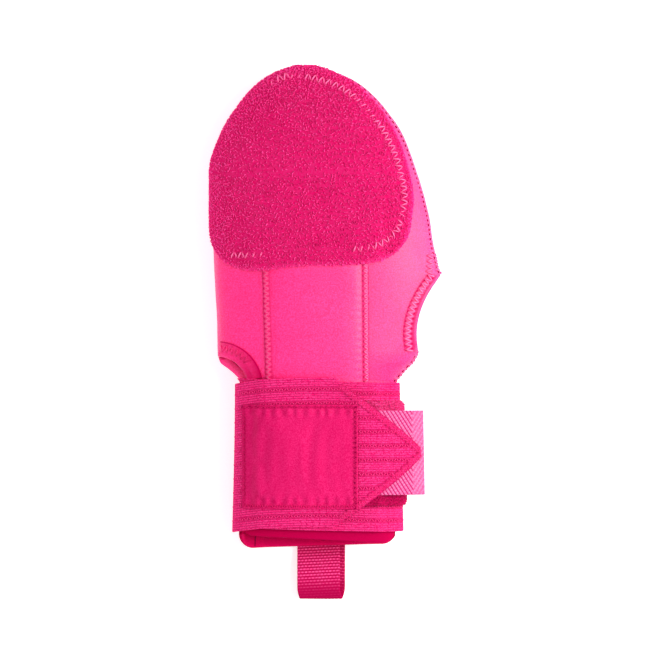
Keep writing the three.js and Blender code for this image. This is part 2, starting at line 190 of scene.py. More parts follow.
def new_piece(name, points, faces, tone=1.0, lay=None):
    """A mesh piece from points and four-sided faces. The tone of a point is painted light and shade, from 0,
    shaded, to 1, in full light, and its lay is its place along and across the cloth before that was bent to
    shape."""
    mesh = bpy.data.meshes.new(name)
    mesh.vertices.add(len(points))
    mesh.vertices.foreach_set("co", (np.asarray(points) * MM).ravel())
    mesh.loops.add(faces.size)
    mesh.loops.foreach_set("vertex_index", faces.ravel().astype(np.int32))
    mesh.polygons.add(len(faces))
    mesh.polygons.foreach_set("loop_start", np.arange(0, faces.size, 4, dtype=np.int32))
    mesh.polygons.foreach_set("use_smooth", np.full(len(faces), True))
    mesh.update(calc_edges=True)
    values = np.clip(np.broadcast_to(tone, len(points)), 0, 1).astype(np.float32)
    mesh.attributes.new("tone", "FLOAT", "POINT").data.foreach_set("value", values)
    if lay is not None:
        places = (lay * MM).astype(np.float32).ravel()
        mesh.attributes.new("lay", "FLOAT_VECTOR", "POINT").data.foreach_set("vector", places)
    piece = bpy.data.objects.new(name, mesh)
    bpy.context.scene.collection.objects.link(piece)
    return piece


def grid_faces(grid):
    """Four-sided faces between the points of a grid."""
    return np.stack([grid[:-1, :-1], grid[:-1, 1:], grid[1:, 1:], grid[1:, :-1]], -1).reshape(-1, 4)


def closed_sheet(name, top, bottom, tone=1.0, under_tone=1.0, lay=None):
    """A closed cloth body between two grids of points, with its edge faces."""
    rows, columns = top.shape[:2]
    grid = np.arange(rows * columns).reshape(rows, columns)
    under = grid + rows * columns
    quads = [grid_faces(grid), grid_faces(under)[:, [0, 3, 2, 1]]]
    ring = np.concatenate([grid[0, :-1], grid[:-1, -1], grid[-1, :0:-1], grid[:0:-1, 0]])
    after = np.roll(ring, -1)
    quads.append(np.stack([ring, ring + rows * columns, after + rows * columns, after], -1))
    faces = np.concatenate(quads)
    points = np.concatenate([top.reshape(-1, 3), bottom.reshape(-1, 3)])
    a, b, c, d = (points[faces[:, i]] for i in range(4))
    volume = np.einsum("ij,ij->i", a + b + c + d, np.cross(c - a, d - b)).sum()
    if volume < 0:
        faces = faces[:, ::-1]
    tones = np.stack([np.broadcast_to(side, (rows, columns)) for side in (tone, under_tone)]).ravel()
    if lay is not None:
        flat = np.stack(np.broadcast_arrays(*lay, np.zeros((rows, columns))), -1)
        lay = np.tile(flat.reshape(-1, 3), (2, 1))
    piece = new_piece(name, points, faces, tones, lay)
    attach(piece, "root")
    return piece


def band(low, high, rows, crowd_end=False):
    """Rows between two places, without the first, crowded at the far end where an edge curves in."""
    t = np.arange(1, rows + 1) / rows
    return mix(low, high, np.sin(t * np.pi / 2) if crowd_end else t)


def mouth_edge(edge, x):
    """The wrist mouth: a slanted edge between two rounded corners."""
    left, right = left_at(edge.left), right_at(edge.right)
    line = mix(edge.left, edge.right, (x - left) / (right - left))
    for gap, corner in ((x - left, edge.corner_left), (right - x, edge.corner_right)):
        into = np.clip(1 - gap / corner, 0, 1)
        line = line + corner * (1 - np.sqrt(1 - into**2))
    return line


def thumb_edge(y):
    """The x of the thumb hole's edge on the back."""
    return THUMB_HOLE.deepest + (y - THUMB_HOLE.middle) ** 2 / (2 * THUMB_HOLE.radius)


def shell_limits(y, side):
    """The turns at which the panel ends on the thumb side and on the other side."""
    along = (y - THUMB_HOLE.bottom) / (THUMB_HOLE.top - THUMB_HOLE.bottom)
    deeper = 0 if side > 0 else THUMB_HOLE.palm_extra * np.sin(np.pi * np.clip(along, 0, 1))
    cut = turn_at(np.minimum(thumb_edge(y) - deeper, right_at(y)), y, side)
    start = np.where((along > 0) & (along < 1), cut, 0.0)
    reach = HEEL_NOTCH.radius ** 2 - (y - HEEL_NOTCH.y) ** 2
    notch = turn_at(np.maximum(HEEL_NOTCH.x + np.sqrt(np.maximum(reach, 0)), left_at(y)), y)
    end = np.where((reach > 0) & (side > 0), notch, side * np.pi)
    return start, end


def shell(node, side, edge, step):
    """One panel as a padded body, in rows from the mouth to the tip: back (side 1) or palm (side -1)."""
    heel_top = HEEL_NOTCH.y + HEEL_NOTCH.radius
    heel_low = HEEL_NOTCH.y - HEEL_NOTCH.radius
    body = np.concatenate([
        band(FAN_Y, heel_low, 14), band(heel_low, WRIST_Y, 10), band(WRIST_Y, heel_top, 22, True),
        band(heel_top, THUMB_HOLE.bottom, 3), band(THUMB_HOLE.bottom, THUMB_HOLE.top, 34, True),
        band(THUMB_HOLE.top, TAPER_Y, 26), band(TAPER_Y, TIP_Y, 44, True),
    ])
    from_mouth = places_across(FAN_LENGTH, 1.5, EDGE_ROUND)[:-4] / FAN_LENGTH
    across = places_across(GIRTH, step, EDGE_ROUND)
    guide = np.concatenate([np.full(len(from_mouth), FAN_Y), body])[:, None]
    start, end = shell_limits(guide, side)
    turn = mix(start, end, across[None, :] / GIRTH)
    y = np.broadcast_to(guide, turn.shape).copy()
    mouth = mouth_edge(edge, skin_at(turn[: len(from_mouth)], edge.left)[..., 0])
    y[: len(from_mouth)] = mix(mouth, FAN_Y, from_mouth[:, None])
    edges = np.broadcast_to(rounded(across, GIRTH, EDGE_ROUND), turn.shape).copy()
    into_edge = 1 - np.clip(from_mouth * FAN_LENGTH / EDGE_ROUND, 0, 1)
    edges[: len(from_mouth)] *= np.sqrt(1 - into_edge**2)[:, None]
    dip = EDGE_ROUND * (1 - edges)
    plan = skin_at(turn, y)
    uneven = UNEVEN.depth * wander(plan[..., 0], y, UNEVEN.size, 0.7 + side) * edges
    rim = SEAM_HEIGHT + side * SEWN_GAP / 2
    top = skin(turn, y, -dip + uneven)
    beside_notch = ease(y, *NOTCH_BEAD.low) * (1 - ease(y, *NOTCH_BEAD.high))
    bare = (side < 0) * beside_notch
    rolled = NOTCH_BEAD.roll * bare * ease(across, *NOTCH_BEAD.rolled)
    bottom = skin(turn, y, dip - wall_at(y) - rolled)
    bottom[-1, :, 0] = mix((left_at(TIP_Y) + right_at(TIP_Y)) / 2, plan[-1, :, 0], 0.85)
    bottom[-1, :, 1:] = TIP_Y, rim
    for layer in (top, bottom):
        layer[..., 2] = np.maximum(layer[..., 2], rim) if side > 0 else np.minimum(layer[..., 2], rim)
        layer[..., 2] += NOTCH_BEAD.stand * bare * ease(across, *NOTCH_BEAD.standing)
    top[..., 2] = np.maximum(top[..., 2], 0)
    # Painted shade: darker along the seams and darker still on the cuff under the strap. The inside is
    # painted in shade, except the bared notch edge and the cuff.
    off_seams = ease(across, 0, SEAM_SHADE.width) * ease(GIRTH - across, 0, SEAM_SHADE.width)
    above_cuff = ease(y, CUFF_TOP - SEAM_SHADE.cuff_fade, CUFF_TOP)
    seam_shade = mix(SEAM_SHADE.tone, 1.0, off_seams) * mix(SEAM_SHADE.cuff_tone, 1.0, above_cuff)
    bare_edge = beside_notch * ease(across, *NOTCH_BEAD.bare)
    inside_shade = np.maximum(bare_edge * ease(across, *NOTCH_BEAD.inside), 1 - above_cuff)
    piece = closed_sheet(node + "_neoprene", top, bottom, np.maximum(seam_shade, bare_edge), inside_shade)
    # Faces below the cuff line take the second material, whose darker colours are painted shade from the
    # strap.
    below_strap = [face.center[1] < CUFF_TOP * MM for face in piece.data.polygons]
    piece.data.polygons.foreach_set("material_index", np.array(below_strap, np.int32))
    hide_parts(node)
    return piece


palm_shell = shell("palm_shell", -1, PALM_MOUTH, 2.0)
back_shell = shell("back_shell", 1, BACK_MOUTH, 1.4)


def linear(colour):
    """A shader colour from an sRGB hex value."""
    parts = [int(colour[i : i + 2], 16) / 255 for i in (1, 3, 5)]
    return (*[p / 12.92 if p <= 0.04045 else ((p + 0.055) / 1.055) ** 2.4 for p in parts], 1.0)


def add(tree, kind, links=None, **settings):
    """One node with its settings. A link's value is another node's socket or a constant."""
    made = tree.nodes.new("ShaderNode" + kind)
    for name, value in settings.items():
        setattr(made, name, value)
    for name, value in (links or {}).items():
        if isinstance(value, bpy.types.NodeSocket):
            tree.links.new(value, made.inputs[name])
        else:
            made.inputs[name].default_value = value
    return made


CLOUD_MM = 24  # size of the broad faded clouds in every cloth


def socket(name):
    """A socket's name as the shader editor writes it."""
    return name.replace("_", " ").title()


def cloth(name, shaded, worn, lit, grain_mm, grain_depth_mm, weave_mm=None, **finish):
    """A cloth whose colour runs with the painted tone from its shaded colour to its lit yarns, with a grain
    of a real size, and whose gloss fades with the painted shade. A weave is laid in courses like bricks, by
    the length of a float, the width of a course and the groove between them, and its grooves are given
    painted shade."""
    material = bpy.data.materials.new(name)
    material.use_nodes = True
    tree = material.node_tree
    shader = tree.nodes["Principled BSDF"]

    def ramp(value, **limits):
        ends = {socket(end): limit for end, limit in limits.items()}
        return add(tree, "MapRange", {"Value": value, **ends}).outputs["Result"]

    def blend(share, low, high):
        return add(tree, "Mix", {"Factor": share, "A": low, "B": high}, data_type="RGBA").outputs[2]

    place = add(tree, "TexCoord").outputs["Object"]
    fine = {"Vector": place, "Scale": 1 / (grain_mm * MM), "Detail": 2.0, "Roughness": 0.6}
    broad = {"Vector": place, "Scale": 1 / (CLOUD_MM * MM), "Detail": 2.0}
    grain, cloud = (add(tree, "TexNoise", noise).outputs["Fac"] for noise in (fine, broad))
    yarn = blend(ramp(grain, from_min=0.36, from_max=0.64), linear(worn), linear(lit))
    faded = blend(ramp(cloud, from_min=0.3, from_max=0.7, to_max=0.22), yarn, linear(worn))
    tone = add(tree, "Attribute", attribute_name="tone").outputs["Fac"]
    height = grain
    if weave_mm:
        course = 4 * weave_mm[1]
        groove = add(tree, "TexBrick", {
            "Vector": add(tree, "Attribute", attribute_name="lay").outputs["Vector"],
            "Scale": 1 / (course * MM), "Brick Width": weave_mm[0] / course, "Row Height": 0.25,
            "Mortar Size": weave_mm[2] / course, "Mortar Smooth": 1.0,
        }).outputs["Fac"]
        tone = ramp(groove, to_min=tone, to_max=0.4)
        height = ramp(groove, to_min=height, to_max=-1.0)
    bump = add(tree, "Bump", {"Height": height, "Strength": 0.6, "Distance": grain_depth_mm * MM})
    gloss = ramp(tone, to_max=finish.pop("specular_ior_level"))
    tree.links.new(blend(tone, linear(shaded), faded), shader.inputs["Base Color"])
    tree.links.new(bump.outputs["Normal"], shader.inputs["Normal"])
    tree.links.new(gloss, shader.inputs["Specular IOR Level"])
    for part, value in finish.items():
        shader.inputs[socket(part)].default_value = value
    return material


def made_of(material, *pieces):
    """Give pieces the material that they are made of."""
    for piece in pieces:
        piece.data.materials.append(material)


# Knitted jersey on foam: matt, finely grained, with the pale sheen of short filaments at a slant.
jersey = cloth(
    "neoprene_jersey", "#b80048", "#f00868", "#ff3690", 0.8, 0.18,
    roughness=0.45, sheen_weight=0.06, sheen_roughness=0.4,
    sheen_tint=linear("#ffa6ca"), specular_ior_level=0.5,
)

# Jersey of the cuff under the strap: matt, and painted a deeper red than the rest as the strap's shade.
jersey_in_strap_shade = cloth(
    "jersey_in_strap_shade", "#9c0036", "#d80054", "#e60a5e", 0.8, 0.1, roughness=0.8, specular_ior_level=0.04,
)
made_of(jersey, palm_shell, back_shell)
made_of(jersey_in_strap_shade, palm_shell, back_shell)

# Side seam
# Overlock thread that wraps the two cut edges of the shell together, in slanting stitches about 3 mm
# apart. It shows as a row of small dashes along the outline wherever no other piece covers the seam.

OVERLOCK = Sizes(
    spacing=2.8, inset=1.6, dash=1.3, wrap_inset=3.0, slant=1.5, radius=0.32, dash_radius=0.48,
    fingers=(36, 152), corner=(36, 47), wrist=(-29, -13), upward=(0, 1, 0.3),
)
CUFF_SEAM = Sizes(x=-42.9, top=-116.0, bottom=-129.4, radius=0.3)  # of the lining, seen in the cuff


def thread(name, lines, radius, upward=(0, 0, 1), tones=None):
    """Six-sided sewing thread along each line of points, joined in one mesh and kept above the floor."""
    spin = np.arange(6) * np.pi / 3
    points, faces, start = [], [], 0
    for line in lines:
        heading = unit(np.gradient(line, axis=0))
        aside = unit(np.cross(heading, upward))
        over = np.cross(aside, heading)
        ring = np.cos(spin)[:, None] * aside[:, None] + np.sin(spin)[:, None] * over[:, None]
        points.append((line[:, None] + radius * ring).reshape(-1, 3))
        grid = start + np.arange(len(line) * 6).reshape(-1, 6)
        beside = np.roll(grid, -1, axis=1)
        faces.append(np.stack([grid[:-1], beside[:-1], beside[1:], grid[1:]], -1).reshape(-1, 4))
        first, last = grid[0], grid[-1]
        caps = [first[[3, 2, 1, 0]], first[[5, 4, 3, 0]], last[[0, 1, 2, 3]], last[[0, 3, 4, 5]]]
        faces.append(np.stack(caps))
        start += len(line) * 6
    shades = tones or [1.0] * len(lines)
    ringed = [np.repeat(np.broadcast_to(shade, len(line)), 6) for line, shade in zip(lines, shades)]
    points = np.concatenate(points)
    points[:, 2] = np.maximum(points[:, 2], 0)
    piece = new_piece(name, points, np.concatenate(faces), np.concatenate(ringed))
    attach(piece, "root")
    return piece


def inside_outline(y, inset):
    """The turn at which the back stands inside the thumb side of its outline by an inset."""
    return turn_at(right_at(y) - inset, y)


def needle_dashes(low, high):
    """The stitches' dark sunk ends, in a row just inside the outline."""
    run = np.linspace(-0.5, 0.5, 4) * OVERLOCK.dash
    for y in np.arange(low, high, OVERLOCK.spacing):
        yield skin(inside_outline(y + run, OVERLOCK.inset), y + run, np.full(4, -0.05))


def edge_wraps(low, high):
    """Slanting wraps round the edge, crowded where the seam turns into the thumb hole."""
    share = np.linspace(0, 1, 8)
    for y in np.arange(low, high, OVERLOCK.spacing / 1.6):
        along = y + OVERLOCK.slant * (share - 0.5)
        turn = mix(-0.1, inside_outline(along, OVERLOCK.wrap_inset), share)
        yield skin(turn, along, 0.1 - 0.4 * share**4)


dashes = [*needle_dashes(*OVERLOCK.fingers), *needle_dashes(*OVERLOCK.wrist)]
wraps = [*edge_wraps(*OVERLOCK.corner), *edge_wraps(*OVERLOCK.wrist)]
dash_tones = [0.0] * len(dashes)
seam_dashes = thread("side_seam_dashes", dashes, OVERLOCK.dash_radius, OVERLOCK.upward, dash_tones)
# The cuff's seam is a thin thread in the dark sunk colour, as painted shade along the seam.
cuff_y = np.linspace(CUFF_SEAM.top, CUFF_SEAM.bottom, 12)
cuff_line = skin(turn_at(CUFF_SEAM.x, cuff_y, -1), cuff_y, -wall_at(cuff_y) - 0.05)
cuff_seam = thread("cuff_seam_thread", [cuff_line], CUFF_SEAM.radius)
# The wraps darken as they turn in round the edge, as painted shade.
wrap_tones = [np.linspace(0.9, 0.2, 8)] * len(wraps)
seam_wraps = thread("side_seam_wraps", wraps, OVERLOCK.radius, OVERLOCK.upward, wrap_tones)

# Bright polyester thread: smooth twisted filaments, so it catches more light than the cloth round it.
polyester = cloth(
    "polyester_thread", "#c20850", "#ff5c9e", "#ff88bc", 0.5, 0.1, roughness=0.5, specular_ior_level=0.05,
)

# The same thread where it is drawn down into the foam and lies in its own shade.
sunk_thread = cloth(
    "sunk_thread", "#6c0830", "#780a38", "#8c1446", 0.5, 0.1, roughness=0.8, specular_ior_level=0.0,
)
made_of(polyester, seam_wraps)
made_of(sunk_thread, seam_dashes, cuff_seam)

# Centre panel
# A strip of thicker neoprene down the middle of the back, laid on the shell and sewn down along both
# long edges. The sewing presses its edges flat, so that it puffs up between two rows of zigzag stitches.

# Each side is given by its x at the bottom and at the top.
PANEL = Sizes(top=54.0, bottom=-62.0, left=(-34.0, -37.5), right=(26.9, 26.1), width=62.0)
PANEL_STITCH = Sizes(inset=1.9, half_width=1.2, spacing=1.5, radius=0.32, height=1.15)
PANEL_ROW = (-31.0, 44.0)  # ends of the stitches that show
PANEL_PROFILE = Sizes(
    inset=[0, 0.4, 1.1, 2.9, 3.8, 4.9, 8.5, 16, 34],
    height=[0.3, 0.8, 1.0, 1.0, 0.6, 0.9, 1.55, 1.85, 2.0],
)
panel_height = line_through(PANEL_PROFILE.inset, PANEL_PROFILE.height)


def panel_side(y, side):
    """The x of one of the panel's long sides."""
    along = (y - PANEL.bottom) / (PANEL.top - PANEL.bottom)
    return mix(*side, along)


def on_back(x, y, lift):
    """A point above the back of the shell, by its place seen from above."""
    return skin(turn_at(x, y), y, lift)


def run_along(points):
    """The length of a line of points up to each of them."""
    return np.concatenate([[0], np.cumsum(np.linalg.norm(np.diff(points, axis=0), axis=1))])


def places_on(line, run, places):
    """Points of a flat line at places along its run."""
    return np.stack([np.interp(places, run, line[:, i]) for i in range(2)], -1)


def zigzag(line, half_width, spacing, lay, sink=0.1, rise=0.45, each=5):
    """Zigzag stitches along a line: each leg rises from one needle hole and dips into the next."""
    run = run_along(line)
    count = max(2, int(run[-1] / spacing))
    middle = places_on(line, run, np.linspace(0, run[-1], count + 1))
    heading = unit(np.gradient(middle, axis=0))
    aside = np.stack([-heading[:, 1], heading[:, 0]], -1)
    needle = middle + aside * np.where(np.arange(count + 1) % 2, half_width, -half_width)[:, None]
    t = np.arange(each) / each
    legs = mix(needle[:-1, None], needle[1:, None], t[:, None]).reshape(-1, 2)
    return lay(legs[:, 0], legs[:, 1], np.tile(rise * np.sin(np.pi * t) - sink, count))


def leg_tone(row, low, each=5):
    """Painted shade on thread: it darkens to a low tone at its needle holes, from full light at the middle
    of each leg.
    """
    return np.tile(mix(low, 1.0, np.sin(np.pi * np.arange(each) / each)), len(row) // each)


def needle_marks(aside, run, half_width, spacing, size=0.55):
    """Shade in the needle holes on both sides of a zigzag row, from 0 to 1."""
    marks = 0.0
    for side, first in ((-1, 0), (1, spacing)):
        along = (run - first + spacing) % (2 * spacing) - spacing
        marks = marks + np.exp(-((aside - side * half_width) ** 2 + along**2) / size**2)
    return np.minimum(marks, 1)


panel_half = np.concatenate([places_across(14, 0.5, 0.6)[:18], np.linspace(9, 31, 10)])
panel_across = np.concatenate([panel_half, PANEL.width - panel_half[-2::-1]]) / PANEL.width
panel_y = np.linspace(PANEL.bottom, PANEL.top, 210)[:, None]
panel_left, panel_right = panel_side(panel_y, PANEL.left), panel_side(panel_y, PANEL.right)
panel_x = mix(panel_right, panel_left, panel_across)
panel_inset = np.minimum(panel_across, 1 - panel_across) * (panel_right - panel_left)
pucker = 0.06 * np.sin(2 * np.pi * panel_y / 4.4) * hump(panel_inset, 6.0, 2.0)
panel_lift = SEWN_GAP + panel_height(panel_inset) + pucker + 0.12 * wander(panel_x, panel_y, 24, 2.1)
# Painted shade: a dark line along the panel's cut edges, a soft dark groove inside the stitch row, and the
# needle holes.
panel_tone = ease(panel_inset, -0.3, 0.9) - 0.45 * hump(panel_inset, 3.9, 0.6)
panel_tone = panel_tone - needle_marks(panel_inset - PANEL_STITCH.inset, panel_y - PANEL_ROW[0],
                                       PANEL_STITCH.half_width, PANEL_STITCH.spacing)
panel_face = on_back(panel_x, panel_y, panel_lift)
panel_under = on_back(panel_x, panel_y, SEWN_GAP + 0 * panel_x)
centre_panel = closed_sheet("centre_panel_neoprene", panel_face, panel_under, panel_tone)
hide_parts("centre_panel")
made_of(jersey, centre_panel)


def on_panel_edge(x, y, rise):
    """A point above the panel's flat sewn edge."""
    return on_back(x, y, SEWN_GAP + PANEL_STITCH.height + rise)


panel_rows = []
for side, inward in ((PANEL.left, 1), (PANEL.right, -1)):
    row_y = np.linspace(*PANEL_ROW, 60)
    row = np.stack([panel_side(row_y, side) + inward * PANEL_STITCH.inset, row_y], -1)
    panel_rows.append(zigzag(row, PANEL_STITCH.half_width, PANEL_STITCH.spacing, on_panel_edge))
# The left row is painted darker, as shade on the side away from the light, and every leg darkens at its
# holes.
panel_thread = thread("centre_panel_stitches", panel_rows, PANEL_STITCH.radius,
                      tones=[0.55 * leg_tone(panel_rows[0], 0.6), leg_tone(panel_rows[1], 0.4)])
made_of(polyester, panel_thread)

# Finger patch
# A cap of loop-pile closure fabric over the fingers, sewn to the shell through a row of zigzag stitches
# near its edge. Its face is a lawn of short curled nylon loops on a knitted backing.

PATCH = Sizes(
    gap=0.4, backing=1.9, lower=39.6, wrap_from=2.2, wrap_under=0.15, wrap_rise=34.0, settle=90.0,
    ride_over=12.0, over_panel=2.1, edge_round=0.9, girth=170.0, straight=56.4, thin_edge=0.25,
)
PATCH_HEM = Sizes(
    x=[-67, -41, -31.5, -21.9, -7.5, 6.9, 21.3, 30.9, 35.7, 40.5, 45.3, 48.9],
    y=[36.9, 36.7, 37.2, 38.4, 39.5, 39.7, 40.3, 42.0, 43.4, 46.2, 50.4, 55.2],
)
PATCH_EDGE = Sizes(
    y=[55.2, 60, 69.6, 79.2, 85.2, 97.2, 109.2, 121.2, 133.2, 142.2, 148.2, 153.6, TIP_Y],
    x=[48.9, 50.8, 52.2, 53.1, 52.6, 50.1, 46.5, 41.1, 33.3, 25.0, 17.8, 7.8, -4.0],
)
PATCH_ROW = Sizes(
    hem_inset=9.4, side_inset=6.2, tip_inset=7.0, side=(42, 75), tip=(95, 140), half_width=2.3, spacing=2.1,
    radius=0.38, sink=0.4, rise=1.7, drawn_in=0.7,
)
ROW_SUNK = Sizes(below=60.0, left=(-38, -34), right=(14, 18))  # where the row is sunk over the centre panel
PILE = {"spacing": 1.3, "width": 1.3, "height": 0.85, "radius": 0.29}
patch_right = line_through(PATCH_EDGE.y, PATCH_EDGE.x)
patch_hem = line_through(PATCH_HEM.x, PATCH_HEM.y)


def patch_low(turn):
    """The lower edge: a slanted hem, rounded at the thumb side and rising round the outer side."""
    into_wrap = np.maximum(turn - PATCH.wrap_from, 0) / (np.pi + PATCH.wrap_under - PATCH.wrap_from)
    return patch_hem(skin_at(turn, PATCH.lower)[..., 0]) + PATCH.wrap_rise * into_wrap**2


def over_panel(x, y):
    """How far the patch is lifted where it rides over the end of the centre panel."""
    inside = ease(x, PANEL.left[1] - PATCH.ride_over, PANEL.left[1] - 3)
    inside = inside * (1 - ease(x, PANEL.right[1] + 3, PANEL.right[1] + PATCH.ride_over))
    past_end = ease(y, PANEL.top + 4, PANEL.top + 2 * PATCH.ride_over)
    return PATCH.over_panel * inside * (1 - past_end)


def patch_layer(across, row_y, height):
    """One face of the patch at a height above the shell, with its rows carried round the finger tips."""
    low_turn = mix(turn_at(patch_right(PATCH.lower), PATCH.lower), np.pi + PATCH.wrap_under, across)
    unsettled = np.maximum(1 - (row_y - PATCH.lower) / PATCH.settle, 0)
    y = row_y + (patch_low(low_turn) - PATCH.lower) * unsettled**2
    turn = mix(turn_at(patch_right(y), y), np.pi + PATCH.wrap_under, across)
    base = skin_at(turn, y)
    body = skin(turn, y, PATCH.gap + over_panel(base[..., 0], y) + height)
    last, last_height = body[-1], np.broadcast_to(height, y.shape)[-1]
    middle = (left_at(TIP_Y) + right_at(TIP_Y)) / 2
    past = np.stack([mix(middle, base[-1, :, 0], 0.6), TIP_Y + PATCH.gap + last_height,
                     np.minimum(base[-1, :, 2], SEAM_HEIGHT)], -1)
    bend = np.linspace(0, np.pi / 2, 9)[1:, None]
    round_tip = np.stack([
        mix(last[:, 0], past[:, 0], 1 - np.cos(bend)), mix(last[:, 1], past[:, 1], np.sin(bend)),
        mix(past[:, 2], last[:, 2], np.cos(bend)),
    ], -1)
    return np.concatenate([body, round_tip])


patch_across = (places_across(PATCH.girth, 1.7, PATCH.edge_round) / PATCH.girth)[None, :]
patch_rows = np.concatenate([
    PATCH.lower + places_across(PATCH.straight, 1.8, PATCH.edge_round)[:-5],
    band(95, TIP_Y, 44, True),
])[:, None]
near_low = ease(patch_rows - PATCH.lower, -0.6, 2.5)
patch_edges = ease(patch_across * PATCH.girth, -0.6, 4.5) * near_low
uneven = wander(patch_across * PATCH.girth, patch_rows, 9, 0.9)
patch_height = mix(PATCH.thin_edge, PATCH.backing, patch_edges) + 0.12 * uneven * patch_edges
patch_top = patch_layer(patch_across, patch_rows, patch_height)
patch_bottom = patch_layer(patch_across, patch_rows, 0 * patch_height)
# Painted shade on the backing under the pile, lighter at its edges.
backing_tone = 0.6 - 0.4 * np.concatenate([patch_edges, np.repeat(patch_edges[-1:], 8, axis=0)])
finger_patch = closed_sheet("finger_patch_backing", patch_top, patch_bottom, backing_tone)
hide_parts("finger_patch")


def pile(name, face, spacing, width, height, radius, seed, lit=1.0):
    """Short curled loops over a face, each leaning its own way, with painted shade at the foot and painted
    light at the crown.
    """
    draw = np.random.default_rng(seed)
    a, b, c = face[:-1, :-1], face[:-1, 1:], face[1:, :-1]
    area = np.linalg.norm(np.cross(b - a, c - a), axis=-1)
    share = area.ravel() / spacing**2
    filled = np.floor(np.cumsum(share) + draw.random()).astype(int)
    cell = np.flatnonzero(np.diff(filled, prepend=filled[0]))
    loops = len(cell)
    row, column = np.unravel_index(cell, area.shape)
    across, along = draw.random((2, loops, 1))
    side, up = (b - a)[row, column], (c - a)[row, column]
    root = a[row, column] + side * across + up * along
    normal = np.cross(side, up)
    normal /= np.linalg.norm(normal, axis=-1, keepdims=True) * np.sign(normal[:, 2].sum())
    heading = unit(np.cross(normal, draw.normal(size=(loops, 3))))
    lean = unit(normal + 0.4 * np.cross(normal, draw.normal(size=(loops, 3))))
    sideways = (1 - np.abs(normal[:, 2]))[:, None, None]
    size = draw.uniform(0.8, 1.2, (loops, 1, 1)) * (1 - 0.6 * sideways)
    bend = np.linspace(-0.3, np.pi + 0.3, 5)[None, :, None]
    outward = heading[:, None] * np.cos(bend) * width / 2 + lean[:, None] * np.sin(bend) * height
    aside = np.cross(heading, lean)[:, None]
    spin = np.array([0, 2, 4]) * np.pi / 3
    away = unit(outward)
    ring = np.cos(spin)[:, None] * away[:, :, None] + np.sin(spin)[:, None] * aside[:, :, None]
    points = ((root[:, None] + size * outward)[:, :, None] + radius * ring).reshape(-1, 3)
    grid = np.arange(loops * 15).reshape(loops, 5, 3)
    beside = np.roll(grid, -1, axis=2)
    faces = np.stack([grid[:, :-1], beside[:, :-1], beside[:, 1:], grid[:, 1:]], -1).reshape(-1, 4)
    # Painted light and shade: dark at the foot, bright at the crown, lighter still on steep flanks, and
    # scaled by lit.
    foot_to_crown = 0.2 + 0.8 * np.maximum(np.sin(bend), 0)
    crown = foot_to_crown * draw.uniform(0.3, 1.4, (loops, 1, 1)) + 2.2 * sideways
    crown = crown * np.broadcast_to(lit, area.shape)[row, column][:, None, None]
    piece = new_piece(name, points, faces, np.repeat(crown.ravel(), 3))
    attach(piece, "root")
    return piece


finger_pile = pile("finger_patch_pile", patch_top[:, 3:], seed=11, **PILE)


def moved_in(line, inset):
    """A line seen from above, moved to its left by an inset."""
    heading = unit(np.gradient(line, axis=0))
    return line + inset * np.stack([-heading[:, 1], heading[:, 0]], -1)


def on_patch(x, y, rise):
    """A point on the pile, sunk into it where the row pulls tight and over the centre panel."""
    tight = 1 - ease(wander(x, y, 15, 1.1), -0.4, 0.1)
    over = (y < ROW_SUNK.below) * ease(x, *ROW_SUNK.left) * (1 - ease(x, *ROW_SUNK.right))
    tight = np.maximum(tight, 2 * over)
    return on_back(x, y, PATCH.gap + over_panel(x, y) + PATCH.backing + rise - tight)


hem_x = np.linspace(-55, PATCH_HEM.x[-1], 60)
side_y = np.linspace(PATCH_EDGE.y[0], TIP_Y, 60)
far_y = np.linspace(TIP_Y, 150, 24)
patch_outline = np.concatenate([
    np.stack([hem_x, patch_hem(hem_x)], -1), np.stack([patch_right(side_y), side_y], -1)[1:],
    np.stack([left_at(far_y) - 2.4, far_y + 2.4], -1)[1:],
])
outline_run = run_along(patch_outline)
patch_outline = places_on(patch_outline, outline_run, np.linspace(0, outline_run[-1], 140))
for i in range(4):
    patch_outline[1:-1] = (patch_outline[:-2] + 2 * patch_outline[1:-1] + patch_outline[2:]) / 4
row_y = patch_outline[:, 1:]
row_inset = mix(PATCH_ROW.hem_inset, PATCH_ROW.side_inset, ease(row_y, *PATCH_ROW.side))
row_inset = mix(row_inset, PATCH_ROW.tip_inset, ease(row_y, *PATCH_ROW.tip))
patch_row = zigzag(moved_in(patch_outline, row_inset), PATCH_ROW.half_width, PATCH_ROW.spacing, on_patch,
                   sink=PATCH_ROW.sink, rise=PATCH_ROW.rise)
# Every other leg is drawn deeper into the pile.
patch_row.reshape(-1, 5, 3)[1::2, :, 2] -= PATCH_ROW.drawn_in
patch_row_tone = leg_tone(patch_row, 0.45)
patch_thread = thread("finger_patch_stitches", [patch_row], PATCH_ROW.radius, tones=[patch_row_tone])

# Napped nylon loops: painted shade between the loops and a soft painted pale gleam on their crowns.
loop_nylon = cloth(
    "loop_nylon", "#bc004c", "#ff1e84", "#ff5cae", 1.0, 0.2, roughness=0.7, specular_ior_level=0.0,
)
made_of(loop_nylon, finger_patch, finger_pile)
made_of(polyester, patch_thread)

# Edge bindings
# Strips of folded neoprene facing along the thumb hole and the heel notch. The fold makes a smooth
# rolled edge, and a zigzag row holds the strip's inner edge flat.

